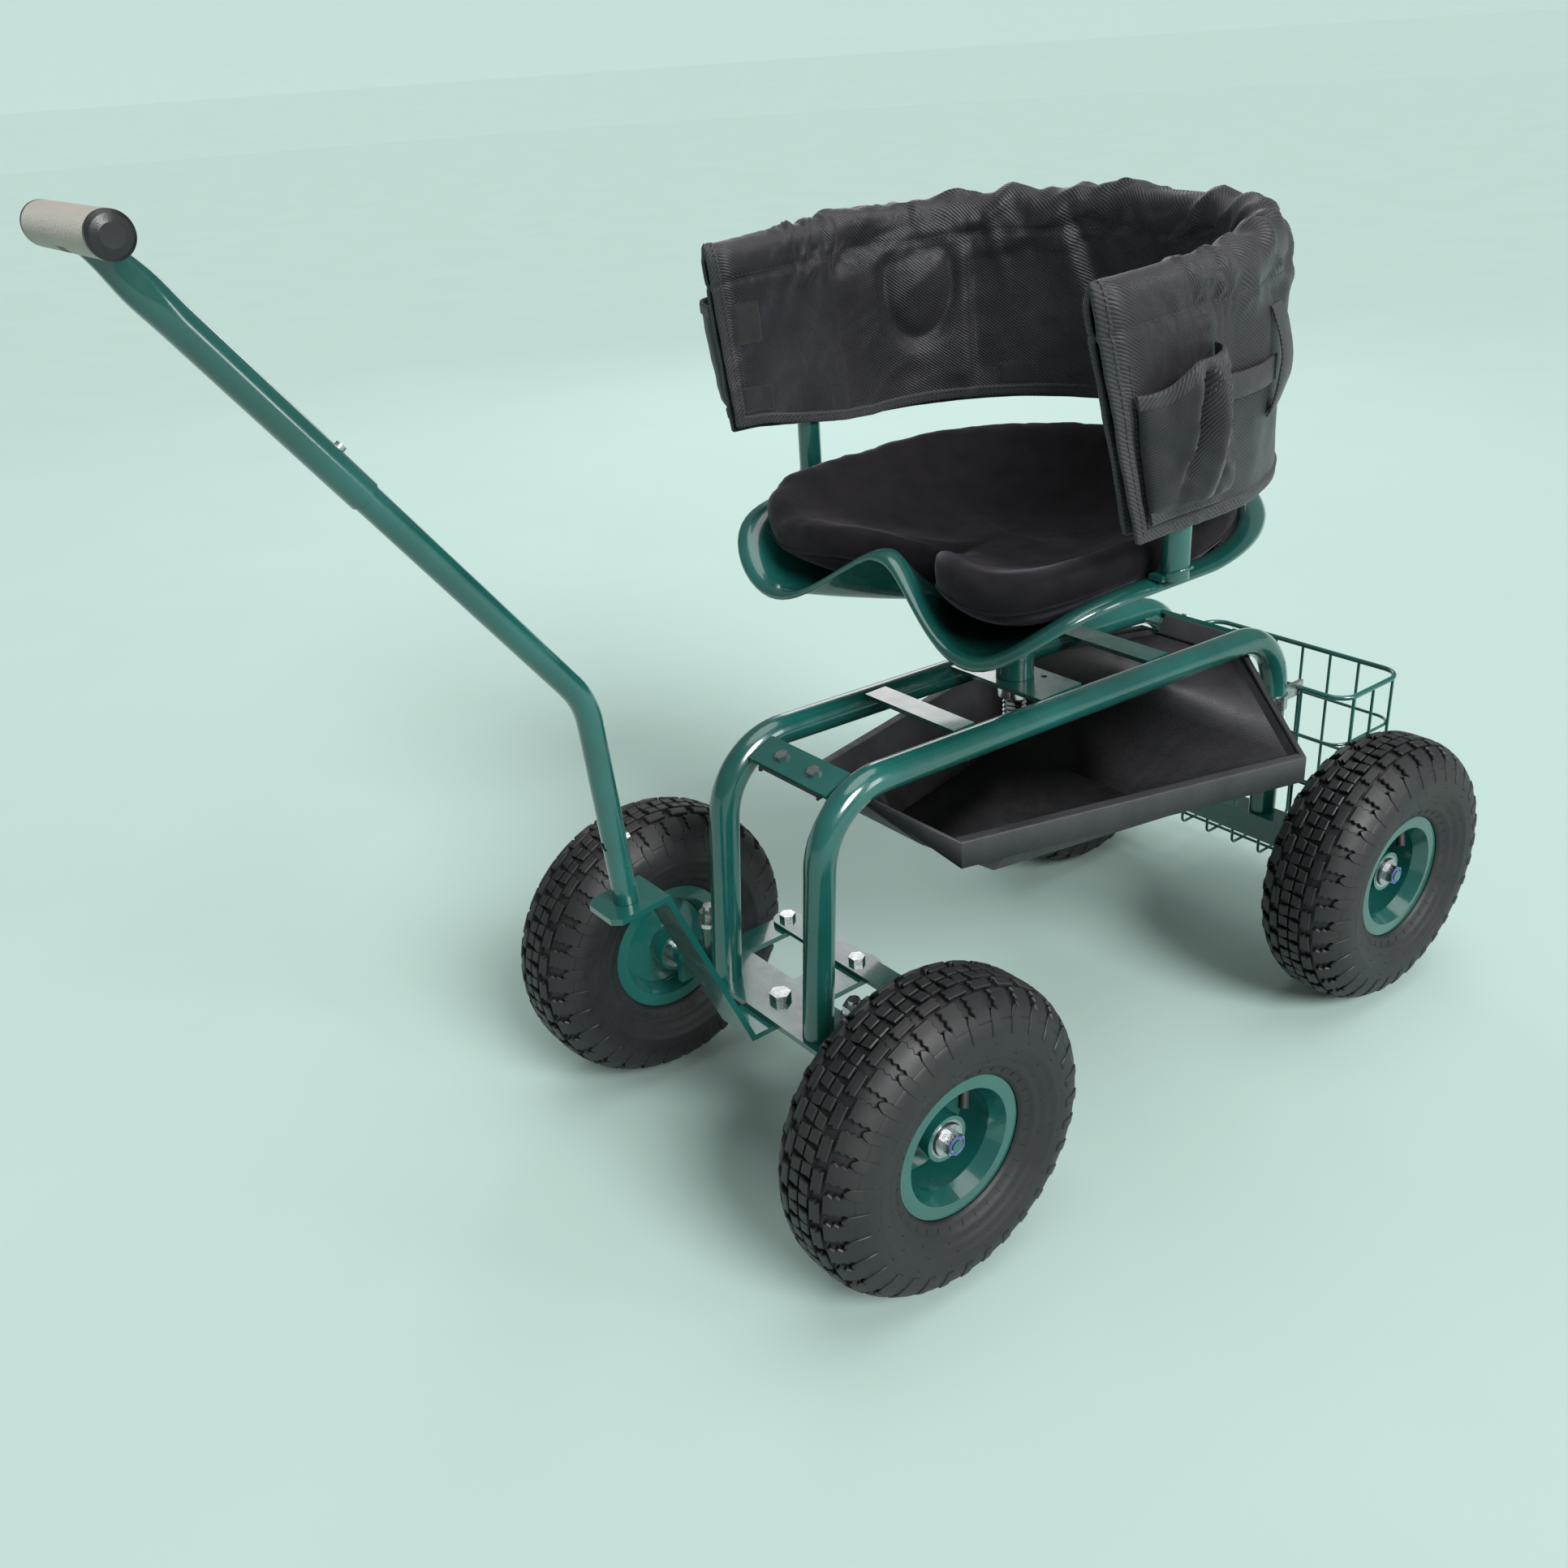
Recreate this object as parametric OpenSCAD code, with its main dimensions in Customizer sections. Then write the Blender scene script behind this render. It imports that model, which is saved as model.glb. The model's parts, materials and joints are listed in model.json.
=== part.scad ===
// Rolling garden seat: four pneumatic wheels, tube frame, steered front axle,
// swivelling and height-adjustable bucket seat with a fabric back wrap,
// a hung tool tray and a rear wire basket.
// Millimetres, +Z up, front (steering handle) towards -Y, left side +X.

/* [Wheels] */
// Outer radius of the tyre
tyre_r = 130; // [115:1:140]
// Width of the tyre
tyre_w = 88; // [80:1:100]
// Radius of the tyre's bead, where it sits on the rim
bead_r = 51; // [48:1:54]
// Thickness of the tyre's casing
tyre_wall = 7; // [5:1:9]
// Radius of the rim's flanges
rim_flange_r = 59.5; // [57:0.5:62]
// Width of the rim over its flanges
rim_w = 59; // [52:1:64]
// Thickness of the rim's sheet
rim_wall = 2.4; // [2:0.2:3]
// Outer radius of the hub tube
hub_r = 19; // [17:1:22]
// Length of the hub over its bearings
hub_len = 56; // [50:1:62]
// Outer radius of a wheel bearing
bearing_r = 16; // [14.5:0.5:17]
// Width of a wheel bearing
bearing_w = 10; // [8:1:12]
// Diameter of the wheel spindles
spindle_d = 15.8; // [14:0.1:17]
// How far the hub's centre lies inboard of the tyre's centre plane
hub_inset = 16; // [12:1:20]
// Length of the tyre valve's stem
valve_len = 22; // [16:1:24]
// Radius of the tyre valve
valve_r = 4; // [3:0.5:5]

/* [Chassis] */
// Distance between the front and rear axles
wheelbase = 570; // [540:5:600]
// Distance between the tyres' centre planes
track = 376; // [360:2:400]
// Outer diameter of the frame tube
rail_d = 25.4; // [22:0.2:28]
// Wall of the frame tube
rail_wall = 1.6; // [1.2:0.1:2.4]
// Distance between the two rails' centre lines
rail_gap = 124; // [110:2:136]
// Height of the rails' centre line at the seat post
rail_z = 348; // [330:1:370]
// Fall of the rails' upper run towards the rear, in degrees
rail_fall = 2.3; // [0:0.1:4]
// Radius of the rails' bends
rail_bend = 62; // [45:1:75]
// Lean of the front legs from the vertical, in degrees
leg_lean = 4.3; // [0:0.1:8]
// How far the front legs' feet stand ahead of the front axle
leg_ahead = 6; // [0:1:10]
// How far the rear legs stand behind the rear axle
leg_behind = 3; // [0:1:6]
// Width of the front axle plate, fore and aft
plate_w = 50; // [46:1:56]
// Thickness of the front axle plate
plate_t = 5; // [4:0.5:6]
// Height of the front axle plate's top face
plate_z = 151; // [148:1:156]
// Distance between the two kingpins
kingpin_gap = 194; // [184:2:200]
// Outer radius of a kingpin boss
boss_r = 9.5; // [8.5:0.5:11]
// Height of a kingpin boss above the plate
boss_h = 30; // [24:1:36]
// Diameter of the kingpin bolts and of the centre pivot bolt
pin_d = 10; // [8:0.5:11]
// Height and width of the rear axle beam
beam_w = 26; // [24:1:30]
// Free length of the rear spindle between the beam's end and the hub
beam_gap = 23; // [18:1:30]
// Width of the front strap between the rails
strap_front_w = 23; // [18:1:30]
// Width of the rear strap between the rails
strap_rear_w = 27; // [18:1:34]
// Thickness of the straps and of the seat plate
strap_t = 4; // [3:0.5:5]
// Front strap's centre ahead of the seat post
strap_front_y = 114; // [100:1:130]
// Rear strap's centre behind the seat post
strap_rear_y = 125; // [105:1:140]
// Length of the seat plate, fore and aft
seat_plate_l = 50; // [46:1:60]
// How far the straps' ends lie inside the rails' centre lines
strap_inset = 8; // [6:1:10]

/* [Steering] */
// Width of the steering bracket's flat bar
bar_w = 42; // [36:1:46]
// Thickness of the steering bracket's flat bar
bar_t = 5; // [4:0.5:6]
// Distance from the centre pivot back to the tie rod
pitman_len = 84; // [78:1:90]
// Distance from the centre pivot forward to the bracket's lower bend
bar_bend_y = 44; // [34:1:46]
// Distance from the centre pivot forward to the middle of the stub plate
stub_y = 134; // [126:1:142]
// Height of the stub plate's top face at its middle
stub_z = 303; // [290:1:312]
// Length of the stub plate
stub_plate_l = 47; // [42:1:58]
// Forward lean of the steering stub, in degrees
stub_lean = 4.3; // [2:0.1:7]
// Outer diameter of the steering stub
stub_d = 16; // [15.5:0.1:16.5]
// Length of the steering stub
stub_len = 80; // [70:1:95]
// Outer diameter of the bent extension tube
ext_d = 18.8; // [18.4:0.1:20]
// Length of the extension from the stub plate to its bend
ext_lower = 165; // [150:1:190]
// Radius of the extension's bend
ext_bend = 60; // [40:1:80]
// Lean of the extension's upper run from the vertical, in degrees
ext_lean = 36.8; // [30:0.2:42]
// Length from the extension's bend to the handle tube's lower end
ext_upper = 216; // [190:1:240]
// How far the extension reaches into the handle tube
ext_overlap = 60; // [50:1:70]
// Outer diameter of the handle tube
handle_d = 21.2; // [20.8:0.1:23]
// Length from the extension's bend to the grip's centre line
handle_reach = 420; // [390:1:450]
// Length of the handle tube's flattened neck
neck_len = 56; // [46:1:66]
// Thickness of the flattened neck
neck_t = 8; // [7:0.5:10]
// Length of the grip
grip_len = 114; // [104:1:140]
// Outer diameter of the grip
grip_d = 24; // [23.5:0.5:32]
// Diameter of the cross tube inside the grip
cross_d = 17; // [16:0.5:20]
// Width of the tie rod and of the knuckle arms
arm_w = 26; // [22:1:30]
// Thickness of the tie rod
tie_t = 4; // [3:0.5:5]
// Diameter of the tie rod bolts
tie_bolt_d = 8; // [6:0.5:9]
// Diameter of the snap buttons
button_d = 7; // [6:0.5:8]

/* [Seat] */
// Distance of the seat post behind the middle of the wheelbase
seat_y = -5; // [-20:1:10]
// Half width of the seat pan inside its rolled edge
pan_half_w = 187; // [180:1:202]
// Reach of the pan's front edge ahead of the post
pan_front = 168; // [155:1:180]
// Reach of the pan's back edge behind the post
pan_back = 166; // [155:1:180]
// Height of the pan's flat middle, on its upper face
pan_z = 440; // [425:1:448]
// Rise of the pan's side edges above its middle
pan_side_rise = 67; // [55:1:76]
// Rise of the pan's back edge above its middle
pan_back_rise = 86; // [78:1:100]
// Drop of the two thigh channels below the side edges
pan_dip = 52; // [40:1:60]
// Thickness of the pan's sheet
pan_t = 2.5; // [2:0.5:3]
// Width of the pan's rolled edge
pan_edge = 17; // [12:1:20]
// Outer diameter of the seat sleeve
sleeve_d = 33; // [31:1:36]
// Wall of the seat sleeve
sleeve_wall = 3; // [2.5:0.5:4]
// Outer diameter of the threaded post
post_d = 21; // [20:0.5:22]
// Pitch of the coarse thread
thread_pitch = 4; // [3:0.5:5]
// Travel of the seat upwards on its thread
seat_travel = 30; // [20:1:36]
// Thickness of the seat cushion
cushion_t = 44; // [36:1:50]
// Gap between the cushion's outline and the pan's edge
cushion_margin = 6; // [4:1:10]
// Reach of the cushion ahead of the seat post
cushion_front = 160; // [145:1:165]
// Depth of the cushion's front notch
cushion_notch = 88; // [76:1:100]

/* [Back wrap] */
// Distance of the hoop's centre line outside the pan's edge
hoop_stand = 1; // [0:1:6]
// Outer diameter of the hoop
hoop_d = 22; // [20:0.5:24]
// Outer diameter of the hoop's two posts
hoop_post_d = 20; // [18:0.5:21]
// Height of the hoop's centre line above the seat post
hoop_z = 717; // [700:1:735]
// Tilt of the hoop down towards the front, in degrees
hoop_tilt = 3.5; // [0:0.5:6]
// Reach of the hoop's arms ahead of the seat post
hoop_front = 136; // [125:1:150]
// Reach of the hoop behind the seat post
hoop_back = 156; // [148:1:170]
// Distance from the seat post forward to where the hoop's arms begin to curve in
hoop_arm = 25; // [0:1:40]
// Distance of the two posts ahead of the seat post
post_ahead = 52; // [40:1:60]
// Drop of the cover's hem below the hoop's centre line
cover_drop = 165; // [150:1:180]
// Thickness of the cover's padded cloth
cover_t = 3; // [2.5:0.5:4]
// How deep the cover's top edge sags and rises
cover_wave = 7; // [0:1:9]
// Bulge of the side pockets
pocket_bulge = 34; // [20:1:40]

/* [Tray] */
// Height of the tray's side edges at its front corners
tray_edge_z = 292; // [282:1:300]
// Fall of the tray's side edges from front to rear
tray_edge_fall = 9; // [0:1:16]
// Depth of the tray's floor below its side edges
tray_depth = 63; // [50:1:70]
// Half width of the tray's front tongue
tray_tongue_hw = 36; // [30:1:42]
// Half width of the tray at its front corners
tray_front_hw = 95; // [84:1:104]
// Half width of the tray at its rear corners
tray_rear_hw = 181; // [170:1:192]
// Half width of the tray's floor at its front end
floor_front_hw = 64; // [56:1:72]
// Half width of the tray's floor at its rear end
floor_rear_hw = 104; // [94:1:114]
// Half width of the tray's rear top edge
tray_top_hw = 62; // [54:1:72]
// Thickness of the tray's moulding
tray_t = 3; // [2.5:0.5:4]
// Depth of the tray's turned-down lip
lip_h = 24; // [18:1:28]

/* [Basket] */
// Width of the basket's rim
basket_w = 228; // [210:2:236]
// Depth of the basket, fore and aft
basket_l = 98; // [90:2:110]
// Height of the basket
basket_h = 200; // [180:2:210]
// Height of the basket's rim wire
basket_z = 263; // [255:1:275]
// Radius of the basket's corners
basket_corner = 20; // [14:1:26]
// Diameter of the basket's rim wire
rim_wire_d = 5; // [4:0.5:6]
// Diameter of the basket's other wires
wire_d = 3; // [2.5:0.5:3.5]
// Distance between the basket's wires
wire_pitch = 33; // [28:1:38]
// Gap between the rear legs and the basket
basket_gap = 30; // [12:1:34]

/* [Fits] */
// Radial clearance of a running fit
run_fit = 0.06; // [0.03:0.01:0.1]
// Gap between parts that are fastened face to face or by a thread
seat_gap = 0.05; // [0.02:0.01:0.1]
// Gap between faces that slide past each other
slide_gap = 0.3; // [0.2:0.05:0.5]

/* [Hidden] */

$fn = 64;
// How far a bolt's end stands past its nut
bolt_end = 1.5;
// How far a cutting shape runs past the faces it cuts
over = 1;

// The object's middle is put over the origin, fore and aft
upper_y = stub_y + ext_lower * sin(stub_lean) + handle_reach * sin(ext_lean);
pivot_share = 0.493;
pivot_back = -pivot_share * wheelbase;
reach_front = -pivot_back + upper_y + grip_d / 2;
basket_front = wheelbase / 2 + leg_behind + rail_d / 2 + basket_gap;
reach_rear = basket_front + basket_l + rim_wire_d / 2;
mid_y = (reach_front - reach_rear) / 2;

axle_z = tyre_r;
front_y = mid_y - wheelbase / 2;
rear_y = mid_y + wheelbase / 2;
pivot_y = mid_y + pivot_back;
rail_x = rail_gap / 2;
rail_r = rail_d / 2;
kingpin_x = kingpin_gap / 2;
post_y = mid_y + seat_y;

green = "#1d5f50";
steel = "#c9ced0";
black = "#1c1c1f";
rubber = "#202123";
plastic = "#2b2d2e";

// Hexagon bolts: head across flats and height follow the shank
function hex_af(d) = 1.6 * d;
function hex_h(d) = 0.62 * d;
function hex_r(d) = hex_af(d) / sqrt(3);

module hex_head(d, h) {
    cylinder(r = hex_r(d), h = h, $fn = 6);
}

// A nut with a clear bore, standing on z = 0
module hex_nut(d, h) {
    difference() {
        hex_head(d, h);
        translate([0, 0, -over]) cylinder(r = d / 2 + seat_gap, h = h + 2 * over);
    }
}

// A washer with a clear bore, standing on z = 0
module washer(d, r, h) {
    difference() {
        cylinder(r = r, h = h);
        translate([0, 0, -over]) cylinder(r = d / 2 + seat_gap, h = h + 2 * over);
    }
}

// A round bar through the points p of the XY plane, with its bends rounded
function heading(a, b) = atan2(b[1] - a[1], b[0] - a[0]);
function wrap_turn(a) = a > 180 ? a - 360 : a < -180 ? a + 360 : a;
function turn_at(p, i) =
    i <= 0 || i >= len(p) - 1 ? 0 :
    wrap_turn(heading(p[i], p[i + 1]) - heading(p[i - 1], p[i]));
function trim_at(p, i, bend) = bend * tan(abs(turn_at(p, i)) / 2);
function bend_of(bend, i) = is_list(bend) ? bend[i] : bend;
// A hollow bar's bends are a little thicker and run a little way past their ends
bend_over = 0.1;
bend_lap = 0.4;
module bent_tube(p, bend, r, bore) {
    grow = bore > 0 ? bend_over : 0;
    lap = bore > 0 ? bend_lap : 0;
    for (i = [0 : len(p) - 2]) {
        a = heading(p[i], p[i + 1]);
        cut = trim_at(p, i, bend_of(bend, i));
        run = norm(p[i + 1] - p[i]) - cut - trim_at(p, i + 1, bend_of(bend, i + 1));
        translate([p[i][0], p[i][1], 0]) rotate([0, 0, a])
            translate([cut, 0, 0]) rotate([0, 90, 0]) difference() {
                cylinder(r = r, h = run);
                if (bore > 0) translate([0, 0, -over]) cylinder(r = bore, h = run + 2 * over);
            }
    }
    for (i = [1 : len(p) - 2]) {
        t = turn_at(p, i);
        a = heading(p[i - 1], p[i]);
        b = bend_of(bend, i);
        translate([p[i][0], p[i][1], 0]) rotate([0, 0, a])
            translate([-trim_at(p, i, b), sign(t) * b, 0])
            rotate([0, 0, (t > 0 ? -90 : 90 + t) - lap])
            rotate_extrude(angle = abs(t) + 2 * lap) translate([b, 0]) difference() {
                circle(r = r + grow);
                if (bore > 0) circle(r = bore - grow);
            }
    }
}
module bent_bar(p, bend, r) {
    bent_tube(p, bend, r, 0);
}

// Stands a shape drawn in the XY plane up in the YZ plane
module stand() {
    rotate([90, 0, 90]) children();
}

// Frame rails
rail_top_rear = rear_y + leg_behind;
foot_y = front_y - leg_ahead;
beam_top = axle_z + beam_w / 2;
fall = tan(rail_fall);
lean = tan(leg_lean);
function rail_at(y) = rail_z - (y - post_y) * fall;
knee_z = (rail_z - (foot_y - plate_z * lean - post_y) * fall) / (1 + lean * fall);
knee_y = foot_y + (knee_z - plate_z) * lean;
rail_path = [
    [foot_y - rail_r * lean, plate_z - rail_r],
    [knee_y, knee_z],
    [rail_top_rear, rail_at(rail_top_rear)],
    [rail_top_rear, beam_top]];

module rail(x) {
    color(green)
    difference() {
        translate([x, 0, 0]) stand() bent_tube(rail_path, rail_bend, rail_r, rail_r - rail_wall);
        translate([x - rail_d, foot_y - rail_d, plate_z - rail_d])
            cube([2 * rail_d, 2 * rail_d, rail_d]);
    }
}
module rail_left() { rail(rail_x); }
module rail_right() { rail(-rail_x); }

// Front axle: flat plate with a welded boss at each kingpin
plate_len = kingpin_gap + plate_w * 0.7;
module front_axle_plate() {
    color(green)
    difference() {
        union() {
            translate([-plate_len / 2, pivot_y - plate_w / 2, plate_z - plate_t])
                cube([plate_len, plate_w, plate_t]);
            for (s = [-1, 1]) translate([s * kingpin_x, pivot_y, plate_z])
                cylinder(r = boss_r, h = boss_h);
        }
        for (s = [-1, 1]) translate([s * kingpin_x, pivot_y, plate_z - plate_t - over])
            cylinder(r = pin_d / 2 + run_fit, h = boss_h + plate_t + 2 * over);
        translate([0, pivot_y, plate_z - plate_t - over])
            cylinder(r = pin_d / 2 + run_fit, h = plate_t + 2 * over);
    }
}

// Wheel places along the axle, outboard positive, for the left side
wheel_x = track / 2;
hub_in = wheel_x - hub_inset - hub_len / 2 + hub_inset * 0.25;
hub_out = hub_in + hub_len;
beam_len = 2 * (hub_in - beam_gap);
washer_t = 2;
washer_r = 13;
nut_d = 10;
nut_h = 8;
shoulder_r = 11;
spindle_end = hub_out + slide_gap + washer_t + nut_h + bolt_end;

module spindle(from) {
    translate([from, 0, 0]) rotate([0, 90, 0])
        cylinder(r = shoulder_r, h = hub_in - slide_gap - from);
    translate([from, 0, 0]) rotate([0, 90, 0])
        cylinder(r = spindle_d / 2, h = hub_out - from);
    translate([from, 0, 0]) rotate([0, 90, 0])
        cylinder(r = nut_d / 2, h = spindle_end - from);
}

// Washer and lock nut on the spindle's end
module spindle_nut() {
    translate([hub_out + slide_gap, 0, 0]) rotate([0, 90, 0]) washer(nut_d, washer_r, washer_t);
    translate([hub_out + slide_gap + washer_t, 0, 0]) rotate([0, 90, 0]) hex_nut(nut_d, nut_h);
}

module rear_axle_beam() {
    color(green)
    translate([0, rear_y, axle_z]) {
        translate([-beam_len / 2, -beam_w / 2, -beam_w / 2]) cube([beam_len, beam_w, beam_w]);
        spindle(beam_len / 2);
        mirror([1, 0, 0]) spindle(beam_len / 2);
    }
}

module rear_wheel_nuts() {
    color(steel)
    translate([0, rear_y, axle_z]) {
        spindle_nut();
        mirror([1, 0, 0]) spindle_nut();
    }
}

// Straps between the rails, coped to the tubes
strap_rise = sqrt(pow(rail_r, 2) - pow(strap_inset, 2)) - strap_t / 2;
module rail_cope() {
    for (s = [-1, 1]) translate([s * rail_x, 0, 0]) stand() bent_bar(rail_path, rail_bend, rail_r + seat_gap);
}
module strap(y, w) {
    color(green)
    difference() {
        translate([strap_inset - rail_x, y - w / 2, rail_at(y) + strap_rise])
            cube([rail_gap - 2 * strap_inset, w, strap_t]);
        rail_cope();
    }
}
module strap_front() { strap(post_y - strap_front_y, strap_front_w); }
module strap_rear() { strap(post_y + strap_rear_y, strap_rear_w); }

// Seat plate with the hole for the threaded post and one small service hole
seat_plate_z = rail_z + strap_rise;
seat_plate_top = seat_plate_z + strap_t;
service_hole_d = 6;
module seat_plate() {
    color(green)
    difference() {
        translate([strap_inset - rail_x, post_y - seat_plate_l / 2, seat_plate_z])
            cube([rail_gap - 2 * strap_inset, seat_plate_l, strap_t]);
        rail_cope();
        translate([0, post_y, seat_plate_z - over])
            cylinder(r = post_d / 2 + run_fit, h = strap_t + 2 * over);
        translate([post_d, post_y + seat_plate_l * 0.28, seat_plate_z - over])
            cylinder(d = service_hole_d, h = strap_t + 2 * over);
    }
}

// Cross plates on the rails' bends, set square to the bend at their own turn
bolt_d = 6;
front_turn = 22;
front_plate_w = 28;
front_bolt_x = 20;
front_trim = rail_bend * tan((90 - leg_lean - rail_fall) / 2);
front_centre = [knee_y + front_trim * cos(rail_fall) - rail_bend * sin(rail_fall),
    knee_z - front_trim * sin(rail_fall) - rail_bend * cos(rail_fall)];
rear_turn = 38;
rear_plate_w = 30;
rear_bolt_x = 30;
rear_trim = rail_bend * tan((90 - rail_fall) / 2);
rear_centre = [rail_top_rear - rail_bend, rail_at(rail_top_rear) - rear_trim];
cross_c = front_centre + rail_bend * [-sin(front_turn), cos(front_turn)];
rear_c = rear_centre + rail_bend * [sin(rear_turn), cos(rear_turn)];
module cross_frame() {
    translate([0, cross_c[0], cross_c[1]]) rotate([front_turn, 0, 0]) children();
}
module rear_frame() {
    translate([0, rear_c[0], rear_c[1]]) rotate([-rear_turn, 0, 0]) children();
}
cross_hx = rail_x - rail_r - bend_over - seat_gap;
module cross_plate(w, bolt_x) {
    difference() {
        translate([-cross_hx, -w / 2, 0]) cube([2 * cross_hx, w, strap_t]);
        for (s = [-1, 1]) translate([s * bolt_x, 0, -over])
            cylinder(r = bolt_d / 2 + seat_gap, h = strap_t + 2 * over);
    }
}
module front_cross_plate() {
    color(green) cross_frame() cross_plate(front_plate_w, front_bolt_x);
}
module rear_bracket() {
    color(green) rear_frame() cross_plate(rear_plate_w, rear_bolt_x);
}

// Steering bracket: one flat bar, bent up to the stub plate
bar_top = plate_z - plate_t - slide_gap;
bar_mid = bar_top - bar_t / 2;
pitman_y = pivot_y + pitman_len;
stub_c = [pivot_y - stub_y, stub_z];
stub_dir = [-sin(stub_lean), cos(stub_lean)];
plate_dir = [cos(stub_lean), sin(stub_lean)];
stub_back = stub_c + plate_dir * stub_plate_l / 2 - stub_dir * bar_t / 2;
stub_front = stub_c - plate_dir * stub_plate_l / 2 - stub_dir * bar_t / 2;
bar_low = [pivot_y - bar_bend_y, bar_mid];
corner_cut = 9;

// The outline of a bar of thickness t bent along the points p
function unit(v) = v / norm(v);
function square_to(v) = [-v[1], v[0]];
function way(p, i) = unit(p[i + 1] - p[i]);
function mitre(p, i, w) = let (
        a = square_to(way(p, max(0, i - 1))),
        b = square_to(way(p, min(len(p) - 2, i))),
        n = unit(a + b))
    p[i] + n * w / (n * a);
module bent_strip(p, t, w) {
    stand() translate([0, 0, -w / 2]) linear_extrude(w) polygon(concat(
        [for (i = [0 : len(p) - 1]) mitre(p, i, t / 2)],
        [for (i = [len(p) - 1 : -1 : 0]) mitre(p, i, -t / 2)]));
}

module steering_bracket() {
    color(green)
    difference() {
        union() {
            difference() {
                bent_strip([[pitman_y, bar_mid], bar_low, stub_back, stub_front], bar_t, bar_w);
                for (s = [-1, 1])
                    translate([s * bar_w / 2, stub_front[0] - bar_t / 2, stub_front[1]])
                    rotate([0, 0, 45])
                    cube([corner_cut * 1.4, corner_cut * 1.4, 4 * bar_t], center = true);
            }
            translate([0, pitman_y, bar_mid - bar_t / 2]) cylinder(d = bar_w, h = bar_t);
            translate([0, stub_c[0], stub_c[1]]) rotate([stub_lean, 0, 0])
                translate([0, 0, -bar_t / 2]) cylinder(d = stub_d, h = stub_len + bar_t / 2);
        }
        translate([0, pitman_y, bar_mid - bar_t]) cylinder(r = tie_bolt_d / 2 + run_fit, h = 2 * bar_t);
        translate([0, pivot_y, bar_mid - bar_t]) cylinder(r = pin_d / 2 + run_fit, h = 2 * bar_t);
        translate([0, stub_c[0], stub_c[1]]) rotate([stub_lean, 0, 0]) {
            translate([0, 0, stub_len - button_up - button_room])
                cylinder(d = stub_d - 2 * stub_wall, h = button_up + button_room + over);
            translate([0, 0, stub_len - button_up]) rotate([-90, 0, 0])
                cylinder(r = button_d / 2 + run_fit, h = stub_d);
        }
    }
}
stub_wall = 1.6;
button_up = 30;
button_room = 14;

// Bolt through the axle plate and the bracket, head on top, nut below
module pivot_bolt() {
    top = plate_z;
    bottom = bar_top - bar_t - slide_gap;
    grip = top - bottom;
    color(steel)
    translate([0, pivot_y, 0]) {
        translate([0, 0, top]) hex_head(pin_d, hex_h(pin_d));
        translate([0, 0, bottom - hex_h(pin_d) - bolt_end])
            cylinder(d = pin_d, h = grip + hex_h(pin_d) + bolt_end);
        translate([0, 0, bottom - hex_h(pin_d)]) hex_nut(pin_d, hex_h(pin_d));
    }
}

// Tie rod: lies on the bracket's tail and on the two knuckle arms
tie_z = bar_top + slide_gap;
module tie_rod() {
    color(green)
    difference() {
        translate([0, pitman_y, tie_z]) {
            translate([-kingpin_x, -arm_w / 2, 0]) cube([kingpin_gap, arm_w, tie_t]);
            for (s = [-1, 1]) translate([s * kingpin_x, 0, 0]) cylinder(d = arm_w, h = tie_t);
        }
        for (x = [-kingpin_x, 0, kingpin_x]) translate([x, pitman_y, tie_z - over])
            cylinder(r = tie_bolt_d / 2 + seat_gap, h = tie_t + 2 * over);
    }
}
module tie_rod_bolts() {
    bottom = bar_top - bar_t - slide_gap;
    color(steel)
    for (x = [-kingpin_x, 0, kingpin_x]) translate([x, pitman_y, 0]) {
        translate([0, 0, tie_z + tie_t]) hex_head(tie_bolt_d, hex_h(tie_bolt_d));
        translate([0, 0, bottom - hex_h(tie_bolt_d) - bolt_end])
            cylinder(d = tie_bolt_d, h = tie_z + tie_t - bottom + hex_h(tie_bolt_d) + bolt_end);
        translate([0, 0, bottom - hex_h(tie_bolt_d)]) hex_nut(tie_bolt_d, hex_h(tie_bolt_d));
    }
}

// Knuckle: arm plate under the axle plate, turned-down cheek and spindle
cheek_out = 24;
cheek_x = kingpin_x + cheek_out;
cheek_t = 6;
cheek_l = 40;
cheek_margin = 3;
cheek_drop = axle_z - shoulder_r - cheek_margin;
module knuckle() {
    color(green)
    difference() {
        union() {
            translate([kingpin_x - arm_w / 2, pivot_y - cheek_l / 2, bar_top - bar_t])
                cube([cheek_x - kingpin_x + arm_w / 2, cheek_l, bar_t]);
            translate([kingpin_x - arm_w / 2, pivot_y, bar_top - bar_t]) cube([arm_w, pitman_len, bar_t]);
            translate([kingpin_x, pitman_y, bar_top - bar_t]) cylinder(d = arm_w, h = bar_t);
            translate([cheek_x, pivot_y - cheek_l / 2, cheek_drop])
                cube([cheek_t, cheek_l, bar_top - cheek_drop]);
            translate([0, front_y, axle_z]) spindle(cheek_x + cheek_t / 2);
        }
        translate([kingpin_x, pivot_y, bar_top - 2 * bar_t])
            cylinder(r = pin_d / 2 + seat_gap, h = 3 * bar_t);
        translate([kingpin_x, pitman_y, bar_top - 2 * bar_t])
            cylinder(r = tie_bolt_d / 2 + run_fit, h = 3 * bar_t);
    }
}
module knuckle_left() { knuckle(); }
module knuckle_right() { mirror([1, 0, 0]) knuckle(); }

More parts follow.
